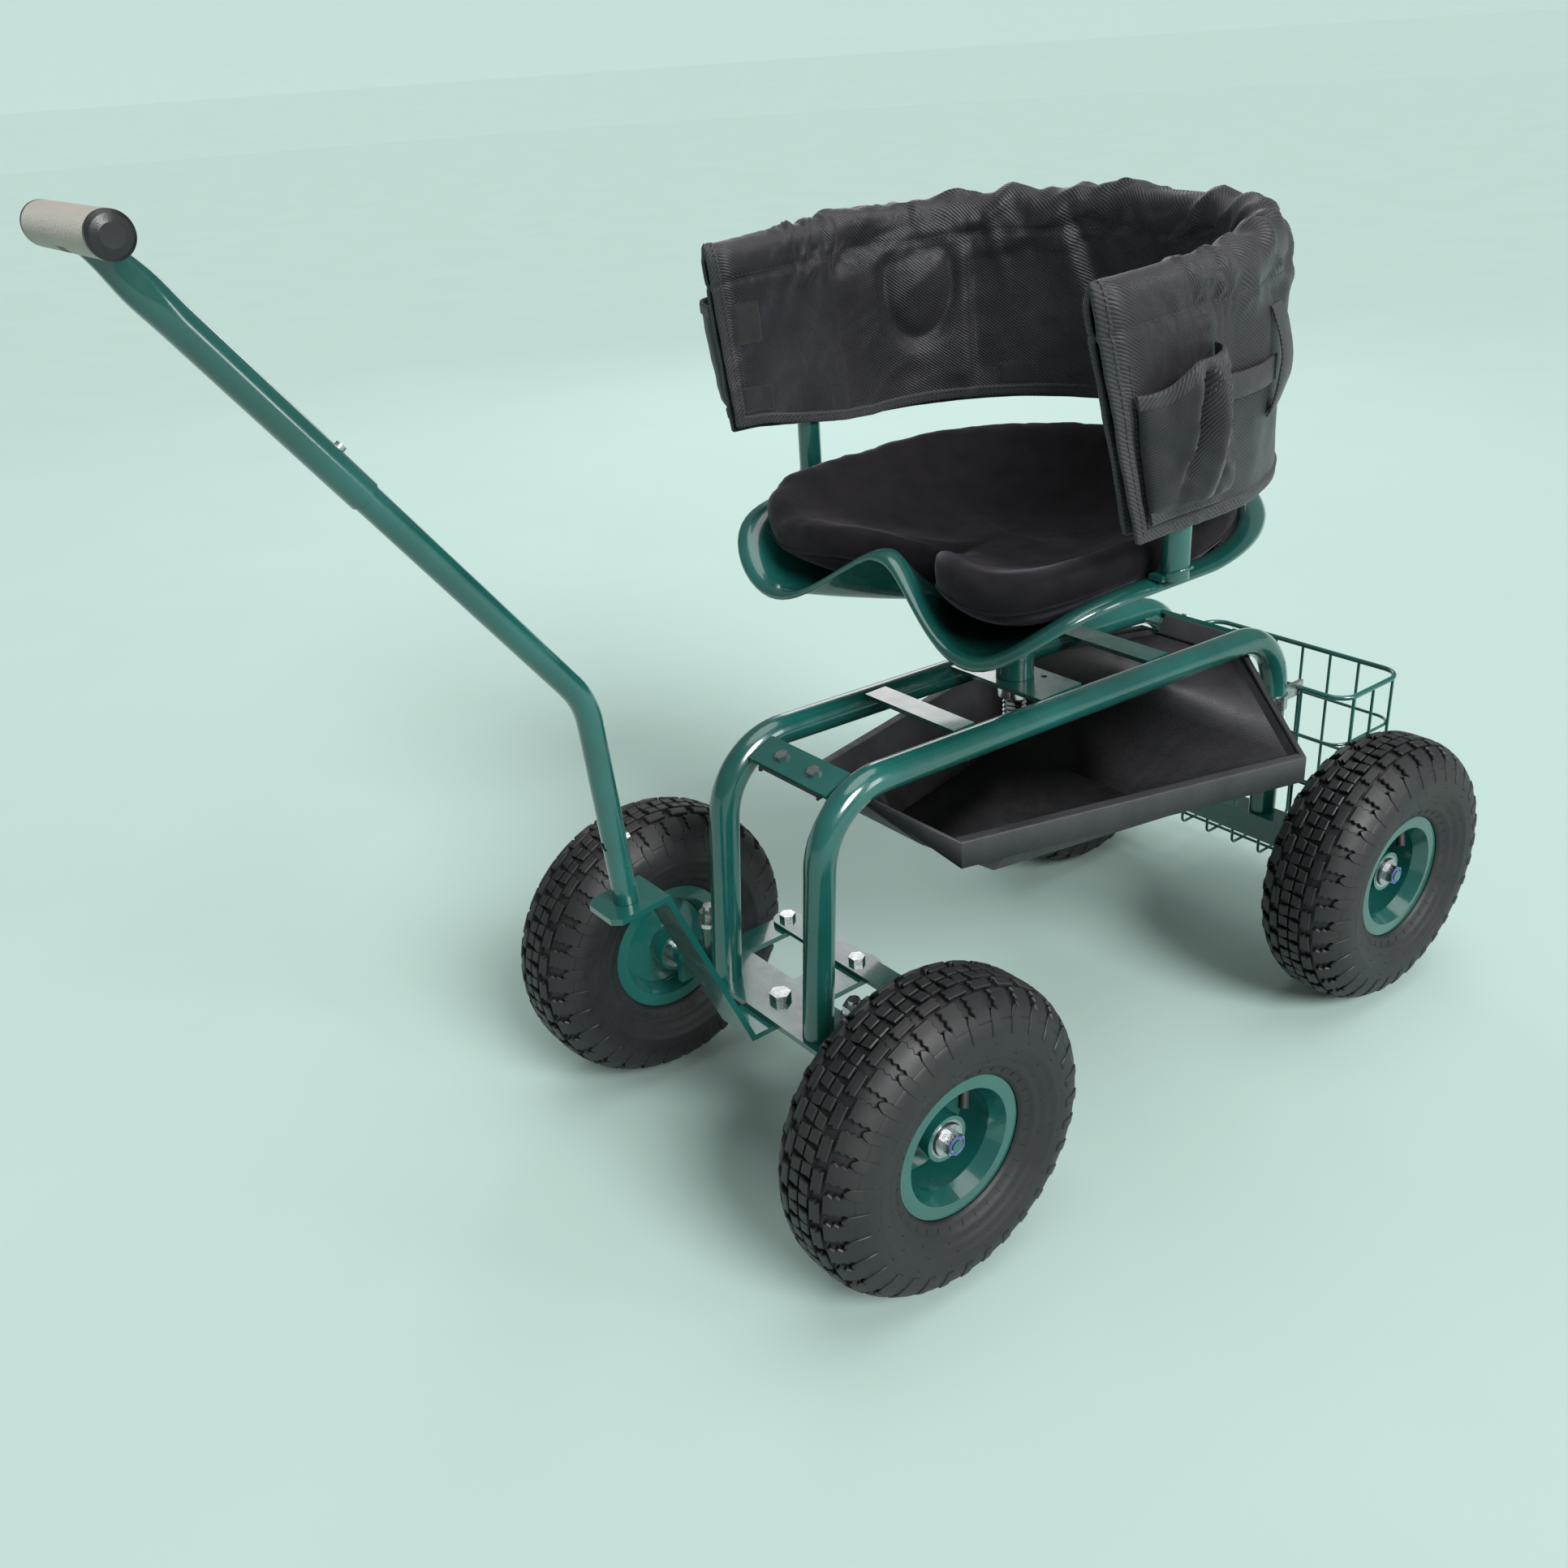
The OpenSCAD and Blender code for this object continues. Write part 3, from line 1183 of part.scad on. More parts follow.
// A section: y and z of its edge, half width of the edge, half width of the floor, its drop, the lip
function tray_cut(c, e, f, drop, l) = [c[0], e, c[1], f, c[1] - drop, l];
function tray_flat(c, e) = tray_cut(c, e, e - flat_in, 0, tongue_lip);
function tray_edge(y, f) = tray_cut([y, edge_z(y)], edge_hw(y), f, edge_z(y) - tray_floor_z, lip_h);
tray_top = rear_c - [top_ahead, top_drop];
function tray_sections() = [
    tray_flat(tongue_c - tongue_run, tray_tongue_hw),
    tray_flat(tongue_c + tongue_run, tray_tongue_hw + rim_land),
    tray_cut(tongue_c + tongue_run + [tongue_step, -tongue_drop], tray_tongue_hw + rim_land,
        tray_tongue_hw, rim_land / 2, tongue_lip),
    tray_cut([tray_front_y, tray_edge_z], tray_front_hw, floor_front_hw * 0.8, tray_depth * 0.28, lip_h),
    tray_edge(floor_front_y, floor_front_hw),
    tray_edge(floor_rear_y, floor_rear_hw),
    tray_cut([tray_rear_y, edge_z(tray_rear_y)], tray_rear_hw, tray_rear_hw - 2 * rim_land, rear_dish, lip_h),
    tray_cut(tray_top, tray_top_hw, tray_top_hw - 2 * rim_land, top_dish, tongue_lip),
    tray_flat(tray_top + [tab_step, rim_step], tab_hw),
    tray_flat(back_c - back_run, tab_hw),
    tray_flat(back_c + back_run, tab_hw)];
function tray_ring(q) = let (y = q[0], e = q[1], ez = q[2], f = q[3], fz = q[4], l = q[5], t = tray_t) [
    [e, y, ez - l], [e, y, ez], [e - rim_land, y, ez], [f, y, fz], [-f, y, fz],
    [rim_land - e, y, ez], [-e, y, ez], [-e, y, ez - l], [t - e, y, ez - l], [t - e, y, ez - t],
    [rim_land - rim_step - e, y, ez - t], [-f - rim_step, y, fz - t], [f + rim_step, y, fz - t],
    [e - rim_land + rim_step, y, ez - t], [e - t, y, ez - t], [e - t, y, ez - l]];
module tool_tray() {
    color(plastic)
    difference() {
        loft([for (q = tray_sections()) tray_ring(q)], true, true);
        for (s = [-1, 1]) {
            cross_frame() translate([s * front_bolt_x, 0, -3 * tray_t])
                cylinder(r = bolt_d / 2 + seat_gap, h = 4 * tray_t, $fn = 24);
            rear_frame() translate([s * rear_bolt_x, 0, -3 * tray_t])
                cylinder(r = bolt_d / 2 + seat_gap, h = 4 * tray_t, $fn = 24);
        }
    }
}
// A bolt down through a cross plate and the tray, with its nut below
module tray_bolt(turn) {
    under = -2 * seat_gap - tray_t * cos(turn);
    top = strap_t + seat_gap;
    translate([0, 0, top]) hex_head(bolt_d, hex_h(bolt_d));
    translate([0, 0, under - hex_h(bolt_d) - bolt_end])
        cylinder(d = bolt_d, h = top - under + hex_h(bolt_d) + bolt_end);
    translate([0, 0, under - hex_h(bolt_d)]) hex_nut(bolt_d, hex_h(bolt_d));
}
module tray_bolts() {
    color(steel) for (s = [-1, 1]) {
        cross_frame() translate([s * front_bolt_x, 0, 0]) tray_bolt(front_turn);
        rear_frame() translate([s * rear_bolt_x, 0, 0]) tray_bolt(rear_turn);
    }
}

// Wire basket: rim, three rings, and U-shaped wires both ways
basket_y0 = basket_front + mid_y;
basket_y1 = basket_y0 + basket_l;
basket_hw = basket_w / 2;
ring_pitch = 51;
basket_foot = basket_z - basket_h;
function basket_loop(inset) = [
    [basket_hw - inset, basket_y0 + inset], [basket_hw - inset, basket_y1 - inset],
    [inset - basket_hw, basket_y1 - inset], [inset - basket_hw, basket_y0 + inset]];
module wire_loop(z, r, inset) {
    p = basket_loop(inset);
    m = [0, p[0][1]];
    translate([0, 0, z]) bent_bar([m, p[0], p[1], p[2], p[3], m], basket_corner - inset, r);
}
module wire_basket() {
    nx = floor((basket_w - 2 * basket_corner) / wire_pitch / 2);
    ny = floor((basket_l - 2 * basket_corner) / wire_pitch / 2 + 0.5);
    inset = wire_d * 0.8;
    color("#12463a") {
        wire_loop(basket_z, rim_wire_d / 2, 0);
        for (k = [1 : 3]) wire_loop(basket_z - k * ring_pitch, wire_d / 2, inset);
        for (i = [-nx : nx]) translate([i * wire_pitch, 0, 0]) stand() bent_bar(
            [[basket_y0, basket_z], [basket_y0, basket_foot], [basket_y1, basket_foot], [basket_y1, basket_z]],
            wire_d * 2, wire_d / 2);
        for (j = [-ny : ny]) translate([0, (basket_y0 + basket_y1) / 2 + j * wire_pitch, 0])
            rotate([90, 0, 0]) bent_bar(
            [[-basket_hw, basket_z], [-basket_hw, basket_foot + inset], [basket_hw, basket_foot + inset],
             [basket_hw, basket_z]], wire_d * 2, wire_d / 2);
    }
}
clip_w = 14;
clip_t = 2;
module basket_clips() {
    gap = basket_y0 - rail_top_rear;
    color(steel)
    for (s = [-1, 1]) translate([s * rail_x, rail_top_rear, basket_z - clip_w / 2])
    difference() {
        union() {
            cylinder(r = rail_r + clip_t + seat_gap, h = clip_w);
            translate([-clip_t, 0, 0]) cube([2 * clip_t, gap + rim_wire_d, clip_w]);
        }
        translate([0, 0, -over]) cylinder(r = rail_r + seat_gap, h = clip_w + 2 * over);
        translate([-clip_w, gap, clip_w / 2]) rotate([0, 90, 0])
            cylinder(r = rim_wire_d / 2 + seat_gap, h = 2 * clip_w);
    }
}

rail_left();
rail_right();
front_axle_plate();
rear_axle_beam();
front_cross_plate();
strap_front();
strap_rear();
seat_plate();
rear_bracket();
steering_bracket();
pivot_bolt();
tie_rod();
tie_rod_bolts();
knuckle_left();
knuckle_right();
kingpin_left();
kingpin_right();
front_nut_left();
front_nut_right();
rear_wheel_nuts();
steering_extension();
handle_tube();
handle_grip();
grip_caps();
snap_button();
handle_button();
tyre_front_left();
tyre_front_right();
tyre_rear_left();
tyre_rear_right();
rim_front_left();
rim_front_right();
rim_rear_left();
rim_rear_right();
bearings_front_left();
bearings_front_right();
bearings_rear_left();
bearings_rear_right();
valve_front_left();
valve_front_right();
valve_rear_left();
valve_rear_right();
threaded_post();
post_nut();
swivel_bush();
seat_sleeve();
seat_pan();
seat_bolts();
seat_cushion();
back_hoop();
hoop_posts();
back_cover();
pocket_left();
pocket_right();
tool_tray();
tray_bolts();
wire_basket();
basket_clips();
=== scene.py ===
import json
from math import atan2, copysign, cos, exp, hypot, pi, radians, sin, sqrt, tanh

import bmesh
import bpy
from mathutils import Matrix, Vector, noise


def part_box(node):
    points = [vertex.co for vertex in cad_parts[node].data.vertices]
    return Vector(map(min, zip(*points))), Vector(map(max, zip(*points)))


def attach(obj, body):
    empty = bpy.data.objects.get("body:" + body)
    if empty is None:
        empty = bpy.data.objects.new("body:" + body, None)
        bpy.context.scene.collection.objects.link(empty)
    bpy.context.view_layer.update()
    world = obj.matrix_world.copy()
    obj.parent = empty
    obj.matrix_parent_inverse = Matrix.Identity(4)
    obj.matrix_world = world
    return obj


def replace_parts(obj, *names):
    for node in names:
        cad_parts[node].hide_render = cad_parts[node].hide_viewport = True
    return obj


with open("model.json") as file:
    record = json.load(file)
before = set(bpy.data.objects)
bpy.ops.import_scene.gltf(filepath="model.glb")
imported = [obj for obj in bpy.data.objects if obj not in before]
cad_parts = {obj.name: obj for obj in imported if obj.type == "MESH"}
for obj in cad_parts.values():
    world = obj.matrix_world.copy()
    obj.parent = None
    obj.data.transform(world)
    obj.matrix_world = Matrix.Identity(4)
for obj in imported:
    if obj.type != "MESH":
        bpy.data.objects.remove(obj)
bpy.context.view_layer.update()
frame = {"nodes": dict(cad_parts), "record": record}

MM = 0.001
NODES = frame["nodes"]


# Colours and shader nodes


def tone(code):
    """A hex colour as linear values."""
    parts = [int(code[i : i + 2], 16) / 255 for i in (1, 3, 5)]
    line = [p / 12.92 if p <= 0.04045 else ((p + 0.055) / 1.055) ** 2.4 for p in parts]
    return tuple(line) + (1.0,)


class Paint:
    """A material with its node tree, and one call to add a node. Scales are cells per metre."""

    def __init__(self, name):
        self.mat = bpy.data.materials.new(name)
        self.mat.use_nodes = True
        self.tree = self.mat.node_tree
        self.tree.nodes.clear()
        self.out = self.tree.nodes.new("ShaderNodeOutputMaterial")

    def add(self, kind, ins=None, **sets):
        node = self.tree.nodes.new("ShaderNode" + kind)
        for key, value in sets.items():
            setattr(node, key, value)
        for key, value in (ins or {}).items():
            if isinstance(value, bpy.types.NodeSocket):
                self.tree.links.new(value, node.inputs[key])
            else:
                node.inputs[key].default_value = value
        return node

    def place(self):
        return self.add("TexCoord").outputs["Object"]

    def cloth_place(self):
        return self.add("UVMap", uv_map="weave").outputs["UV"]

    def noise(self, at, scale, detail=3.0, rough=0.55):
        return self.add("TexNoise", {"Vector": at, "Scale": scale, "Detail": detail,
                                     "Roughness": rough}).outputs["Fac"]

    def span(self, fac, low, high, to_low, to_high):
        return self.add("MapRange", {"Value": fac, "From Min": low, "From Max": high,
                                     "To Min": to_low, "To Max": to_high}).outputs["Result"]

    def ramp(self, fac, stops):
        node = self.add("ValToRGB", {"Fac": fac})
        band = node.color_ramp
        while len(band.elements) < len(stops):
            band.elements.new(0.5)
        for part, (at, colour) in zip(band.elements, stops):
            part.position = at
            part.color = colour
        return node.outputs["Color"]

    def mix(self, mask, below, above):
        return self.add("Mix", {"Factor": mask, "A": below, "B": above},
                        data_type="RGBA").outputs["Result"]

    def sum(self, a, b, how="ADD"):
        return self.add("Math", {0: a, 1: b}, operation=how).outputs[0]

    def wave(self, along, period):
        turned = self.sum(along, 2 * pi / period, "MULTIPLY")
        return self.add("Math", {0: turned}, operation="SINE").outputs[0]

    def bump(self, height, strength, depth, below=None):
        ins = {"Height": height, "Strength": strength, "Distance": depth}
        if below is not None:
            ins["Normal"] = below
        return self.add("Bump", ins).outputs["Normal"]

    def shade(self, **ins):
        node = self.add("BsdfPrincipled", {k.replace("_", " "): v for k, v in ins.items()})
        self.tree.links.new(node.outputs[0], self.out.inputs["Surface"])
        return self.mat


def coat(name, deep, mid, light, rough, clear):
    """Glossy powder coat: slight orange peel and uneven thickness."""
    p = Paint(name)
    at = p.place()
    broad = p.noise(at, 9.0)
    peel = p.noise(at, 420.0, 2.0)
    fine = p.noise(at, 2400.0, 2.0)
    base = p.ramp(broad, [(0.3, tone(deep)), (0.52, tone(mid)), (0.75, tone(light))])
    normal = p.bump(fine, 0.05, 0.0002, p.bump(peel, 0.12, 0.0006))
    gloss = p.span(p.noise(at, 60.0), 0.3, 0.7, rough, rough + 0.14)
    return p.shade(Base_Color=base, Roughness=gloss, Coat_Weight=clear, Coat_Roughness=0.07,
                   IOR=1.5, Normal=normal)


def metal(name, dark, light, low, high, scratch=0.08):
    """Plated steel: pale, with faint clouds and fine scratches that blur its highlights."""
    p = Paint(name)
    at = p.place()
    cloud = p.noise(at, 180.0, 4.0)
    fine = p.noise(at, 3200.0, 2.0)
    return p.shade(Base_Color=p.ramp(cloud, [(0.3, tone(dark)), (0.7, tone(light))]), Metallic=1.0,
                   Roughness=p.span(p.noise(at, 700.0), 0.3, 0.7, low, high),
                   Normal=p.bump(fine, scratch, 0.0002))


def moulded(name, dark, light, low, high, grain, depth, soft=0.0):
    """A moulded plastic, rubber or foam with a grain of its own size."""
    p = Paint(name)
    at = p.place()
    cloud = p.noise(at, 22.0, 5.0)
    cells = p.add("TexVoronoi", {"Vector": at, "Scale": grain}).outputs["Distance"]
    rub = p.noise(at, grain * 0.35, 4.0)
    height = p.sum(cells, rub)
    return p.shade(Base_Color=p.ramp(cloud, [(0.25, tone(dark)), (0.75, tone(light))]),
                   Roughness=p.span(p.noise(at, 90.0, 4.0), 0.3, 0.7, low, high), Sheen_Weight=soft,
                   Sheen_Roughness=0.5, Normal=p.bump(height, 0.45, depth))


def rubber(name):
    """Vulcanised rubber: near black, dusty in patches, half matt."""
    p = Paint(name)
    at = p.place()
    dust = p.noise(at, 14.0, 6.0, 0.65)
    fine = p.noise(at, 1500.0, 3.0)
    broad = p.noise(at, 160.0, 3.0)
    normal = p.bump(fine, 0.12, 0.0003, p.bump(broad, 0.2, 0.0007))
    base = p.ramp(dust, [(0.32, tone("#131315")), (0.56, tone("#1d1d1f")), (0.74, tone("#2b2927"))])
    return p.shade(Base_Color=base, Roughness=p.span(dust, 0.3, 0.7, 0.42, 0.64), Normal=normal)


def woven(name, dark, light, period, thread, rough, sheen, tint, lint=0.0, ridge=0.5):
    """Cloth with a diagonal rib and crossing threads, in metres along the cloth.

    The rib is drawn about twice as coarse as on real cloth, so that it shows.
    """
    p = Paint(name)
    at = p.cloth_place()
    parts = p.add("SeparateXYZ", {"Vector": at})
    u, v = parts.outputs["X"], parts.outputs["Y"]
    wander = p.sum(p.noise(p.place(), 55.0, 3.0), period * 1.4, "MULTIPLY")
    rib = p.wave(p.sum(p.sum(u, v), wander), period)
    cross = p.sum(p.wave(u, thread), p.wave(v, thread), "MULTIPLY")
    height = p.sum(p.sum(rib, ridge, "MULTIPLY"), p.sum(cross, 0.35, "MULTIPLY"))
    slub = p.noise(p.place(), 900.0, 3.0)
    height = p.sum(height, p.sum(slub, 0.9, "MULTIPLY"))
    cloud = p.noise(p.place(), 11.0, 5.0)
    # The colour has random clouds and slubs of tone, plus painted shade along the rib: lighter on
    # its crests and darker in its grooves
    weave_tone_and_rib_shade = p.sum(p.sum(rib, 0.15, "MULTIPLY"), p.sum(slub, 0.3, "MULTIPLY"))
    weave_tone_and_rib_shade = p.sum(p.sum(cloud, 0.7, "MULTIPLY"), weave_tone_and_rib_shade)
    base = p.ramp(weave_tone_and_rib_shade, [(0.3, tone(dark)), (0.72, tone(light))])
    if lint:
        specks = p.noise(p.place(), 330.0, 6.0, 0.8)
        base = p.mix(p.span(specks, 0.72, 0.78, 0.0, lint), base, tone("#8d8a92"))
    return p.shade(Base_Color=base, Roughness=rough, Sheen_Weight=sheen, Sheen_Roughness=0.42,
                   Sheen_Tint=tone(tint), Specular_IOR_Level=0.45,
                   Normal=p.bump(height, 0.55, 0.00028))


def velvet():
    """The cushion's cover: deep black from above, grey on its turned sides, with lint."""
    p = Paint("pad cloth")
    at = p.place()
    pile = p.noise(at, 1900.0, 3.0)
    brushed = p.noise(at, 38.0, 5.0, 0.62)
    specks = p.span(p.noise(at, 420.0, 6.0, 0.85), 0.745, 0.79, 0.0, 0.5)
    base = p.ramp(brushed, [(0.3, tone("#0e0c0f")), (0.72, tone("#1a171c"))])
    base = p.mix(specks, base, tone("#77727c"))
    normal = p.bump(pile, 0.35, 0.0003, p.bump(brushed, 0.15, 0.0012))
    sheen = p.span(brushed, 0.3, 0.7, 0.26, 0.55)
    return p.shade(Base_Color=base, Roughness=0.82, Sheen_Weight=sheen, Sheen_Roughness=0.34,
                   Sheen_Tint=tone("#b9b2c4"), Specular_IOR_Level=0.22, Normal=normal)


M = {
    # Powder coat over welded steel: deep green, glossy, with orange peel about 2 mm across
    "frame_green": coat("green coat", "#0e423c", "#134f49", "#195c56", 0.16, 0.85),
    # Zinc plate on bolts and straps: blurred highlights
    "zinc_steel": metal("zinc plate", "#a9abad", "#cfd1d2", 0.2, 0.38),
    # Ground bearing steel: a little darker and sharper than the plate
    "bearing_steel": metal("bearing steel", "#9a9c9f", "#c9cbcd", 0.16, 0.3),
    # Bright plate on the seat screw: sharp reflections
    "chrome": metal("bright plate", "#c6c8ca", "#e2e3e4", 0.07, 0.16, 0.03),
    # Tyre: dusty rubber, with a fine moulded skin
    "tyre_rubber": rubber("tyre rubber"),
    "valve_rubber": moulded("valve rubber", "#101011", "#1b1b1c", 0.5, 0.66, 1600.0, 0.0002),
    # Vacuum-formed polyethylene: charcoal, with a leather grain under 1 mm across
    "tray_plastic": moulded("grained plastic", "#2a2a2c", "#3a3a3d", 0.46, 0.62, 1150.0, 0.0004),
    # Closed-cell foam: warm grey and matt
    "grip_foam": moulded("foam", "#8f877c", "#a49c90", 0.86, 0.97, 900.0, 0.0006, 0.3),
    # Moulded nylon of caps and bushes: near black, half gloss
    "cap_plastic": moulded("cap plastic", "#151516", "#202022", 0.3, 0.44, 2200.0, 0.0001),
    "bush_plastic": moulded("bush plastic", "#1a1a1b", "#242425", 0.4, 0.5, 1800.0, 0.0001),
    # Brushed cover of the cushion, and the coated polyester twill of the back cover
    "cushion_fabric": velvet(),
    "cover_fabric": woven("twill", "#111014", "#34333a", 0.0028, 0.0009, 0.46, 0.2, "#d6d4dc",
                          0.3, 1.0),
}
# Ribbed binding tape, sewing thread, hook tape and the nylon ring of a lock nut
TAPE = woven("edge tape", "#1f1f22", "#3e3e43", 0.0034, 0.0009, 0.62, 0.25, "#c8c8cc", 0.0, 0.9)
THREAD = woven("thread", "#2c2c2e", "#4a4a4d", 0.0009, 0.0005, 0.6, 0.3, "#d0d0d4")
HOOKS = moulded("hook tape", "#121214", "#1c1c1f", 0.85, 0.96, 1300.0, 0.0007, 0.25)
INSERT = moulded("nut insert", "#3d4a86", "#5563a0", 0.35, 0.5, 2000.0, 0.0001)


# Shapes, in millimetres, turned into metres when they are built


class Shape:
    def __init__(self):
        self.v, self.f, self.uv = [], [], []

    def rings(self, rings, closed=True, cap=True, uv=None):
        """Quads between rings of equal length."""
        base, n, m = len(self.v), len(rings[0]), len(rings)
        for k, ring in enumerate(rings):
            self.v.extend(ring)
            self.uv.extend(uv[k] if uv else [(0.0, 0.0)] * n)
        for k in range(m - 1):
            for i in range(n if closed else n - 1):
                a, b = base + k * n + i, base + k * n + (i + 1) % n
                self.f.append((a, b, b + n, a + n))
        if cap:
            self.f.append(tuple(base + i for i in reversed(range(n))))
            self.f.append(tuple(base + (m - 1) * n + i for i in range(n)))
        return self

    def build(self, name, body, slot=None, paint=None, angle=38, fix=True):
        mesh = bpy.data.meshes.new(name)
        mesh.from_pydata([Vector(p) * MM for p in self.v], [], self.f)
        layer = mesh.uv_layers.new(name="weave")
        for loop in mesh.loops:
            layer.data[loop.index].uv = self.uv[loop.vertex_index]
        obj = linked(name, mesh)
        finish_mesh(obj, angle, fix)
        dress(obj, body, slot, paint)
        return obj


def linked(name, data):
    """A new object of the scene."""
    obj = bpy.data.objects.new(name, data)
    bpy.context.scene.collection.objects.link(obj)
    return obj


def finish_mesh(obj, angle, fix):
    """Normals outward, smooth faces, and sharp edges past an angle."""
    bm = bmesh.new()
    bm.from_mesh(obj.data)
    if fix:
        bmesh.ops.recalc_face_normals(bm, faces=bm.faces)
    for f in bm.faces:
        f.smooth = True
    for e in bm.edges:
        e.smooth = not (len(e.link_faces) == 2 and e.calc_face_angle(0) > radians(angle))
    bm.to_mesh(obj.data)
    bm.free()


def dress(obj, body, slot, paint):
    obj.data.materials.clear()
    obj.data.materials.append(paint or M[slot])
    if body:
        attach(obj, body)


def thicken(obj, depth, even=True):
    """Gives a sheet its thickness, half of it to each side."""
    mod = obj.modifiers.new("thickness", "SOLIDIFY")
    mod.thickness = depth * MM
    mod.offset = 0.0
    mod.use_even_offset = even
    return obj


def full_turn(count):
    return [2 * pi * k / count for k in range(count)]


def spoke(a, b, turn):
    return a * cos(turn) + b * sin(turn)


def directions(path, closed=False):
    """Two directions across a path at each of its points, without a twist."""
    n = len(path)
    out, side = [], None
    for i in range(n):
        a = path[i - 1] if closed or i else path[0]
        b = path[(i + 1) % n] if closed or i < n - 1 else path[-1]
        t = (b - a).normalized()
        side = t.orthogonal() if side is None else side
        side = (side - t * side.dot(t)).normalized()
        out.append((side, t.cross(side)))
    return out


def tube(shape, path, radius, sides=8, closed=False, rough=0.0):
    """A round rod along a path, with a knobbly radius for weld beads."""
    path = [Vector(p) for p in path]
    rings = []
    for i, (p, (a, b)) in enumerate(zip(path, directions(path, closed))):
        r = radius * (1 + rough * sin(i * 2.3) * (0.6 + 0.4 * sin(i * 0.9)))
        rings.append([p + spoke(a, b, t) * r for t in full_turn(sides)])
    if closed:
        rings.append(rings[0])
    return shape.rings(rings, cap=not closed)


def capsule(shape, a, b, radius, sides=6):
    """A short rounded stitch from a to b."""
    a, b = Vector(a), Vector(b)
    way = b - a
    run = [0.0, 0.12, 0.5, 0.88, 1.0]
    fat = [0.35, 0.85, 1.0, 0.85, 0.35]
    s, t = directions([a, b])[0]
    shape.rings([[a + way * k + spoke(s, t, q) * radius * w for q in full_turn(sides)]
                 for k, w in zip(run, fat)])


def smooth(t):
    """A step from 0 to 1 with soft ends."""
    t = min(1.0, max(0.0, t))
    return t * t * (3 - 2 * t)


def grid(across, down, point):
    """Rows of what point gives over the unit square."""
    return [[point(i / across, k / down) for k in range(down + 1)] for i in range(across + 1)]


def ripple(x, y, z):
    """Smooth noise between -1 and 1."""
    return noise.noise(Vector((x, y, z)))


def hump(x, at, width):
    """A soft hump of height 1."""
    return exp(-(((x - at) / width) ** 2))


# CAD pieces that stay as they are, in their own finishes


def paint_nodes():
    for part in frame["record"]["subparts"]:
        mesh = NODES[part["node"]].data
        mesh.materials.clear()
        mesh.materials.append(M[part["material_slot"]])


paint_nodes()


# Wheels


TYRE_R, HALF, ROUND = 130.0, 44.0, 35.2
FLAT = HALF - ROUND
PITCHES = 32
# The casing's turn ends at this angle, and its wall then runs straight to the bead
LAST_TURN = radians(114)
# Depth of the groove under the blocks' tops, and the run where the shoulder's blocks end
TREAD_DEPTH, SHOULDER = 4.2, 38
# Raised rings of the wall: run from the crown, height and width
WALL_RINGS = [(71, 0.9, 1.6), (89, 1.0, 2.2), (80.5, 0.5, 1.2)]
# Inner side of the bead: across and up
BEAD = [(30.2, 60.0), (27.4, 60.6), (27.1, 57.0)]
CASING_STEPS, CASING_RUN = 132, 2.0


def casing(u):
    """Across and up the tyre at a run u from the crown, with the outward direction."""
    side, run = (1 if u >= 0 else -1), abs(u)
    if run <= FLAT:
        return run * side, TYRE_R, 0.0, 1.0
    turn = (run - FLAT) / ROUND
    t = min(turn, LAST_TURN)
    a, r = FLAT + ROUND * sin(t), TYRE_R - ROUND + ROUND * cos(t)
    if turn > LAST_TURN:
        more = run - FLAT - ROUND * LAST_TURN
        a, r = a + more * cos(LAST_TURN), r - more * sin(LAST_TURN)
    return a * side, r, sin(t) * side, cos(t)


def tread_point(u, v, h):
    """A point u across and v along the crown, h above the casing."""
    a, r, na, nr = casing(u)
    turn = v / TYRE_R
    r += nr * h
    return (a + na * h, r * sin(turn), r * cos(turn))


def tread_drop(run):
    """How far the casing lies under the blocks' tops, and its raised rings."""
    drop = TREAD_DEPTH * (1 - smooth((run - SHOULDER) / 12))
    return sum(h * hump(run, at, width) for at, h, width in WALL_RINGS) - drop


def block(shape, side, cuts, top, chamfer):
    """A tread block from cuts (run, first, last) across the tyre, lofted onto the casing."""
    rings = []
    for k, (u, lo, hi) in enumerate(cuts):
        end = k in (0, len(cuts) - 1)
        t = top - chamfer if end else top
        foot = -5.5 if top > -0.5 and u < 40 else -1.6
        shoulder = t - chamfer * (not end)
        rings.append([tread_point(side * u, v, h) for v, h in
                      ((lo, foot), (lo, shoulder), (lo + chamfer, t), (hi - chamfer, t),
                       (hi, shoulder), (hi, foot))])
    shape.rings(rings)


# A block's outline across the tyre: the run, then its two edges from the block's centre. In the
# centre blocks a last 1 marks the cuts that lie aside by CENTRE_SLIDE
CENTRE_SLIDE = 1.1
CENTRE_BLOCK = [(0.9, -5.0, 4.6, 0), (1.8, -5.2, 4.6, 0), (6.0, -5.4, 4.6, 1), (9.2, -5.2, 4.8, 1),
                (10.1, -5.2, 4.8, 1)]
MIDDLE_BLOCK = [(12.2, -9.2, 8.2), (13.0, -9.4, 8.4), (16.5, -7.4, 9.6), (17.2, -9.8, 7.6),
                (20.5, -8.8, 8.6), (21.4, -8.8, 8.6)]
ZIG_RUNS = (24.6, 27.5, 30.5, 33.5, 36.5, 40.0, 43.5, 47.0)
SIDE_LUG = [(38.5, -1.2, 1.2), (41.0, -3.4, 3.4), (44.5, -5.2, 5.2), (52.0, -5.4, 5.4),
            (58.0, -4.9, 4.9), (60.0, -4.4, 4.4)]
RIM_TICK = [(90.5, -0.5, 0.5), (91.5, -0.6, 0.6), (95.5, -0.6, 0.6), (96.5, -0.5, 0.5)]
# Whiskers of the mould's vents: run and place along the pitch, then height, foot and sink
WHISKERS = ((66, 3.0), (76, -7.0), (84, 5.0))
WHISKER_H, WHISKER_R, WHISKER_SINK = 1.5, 0.7, 0.6


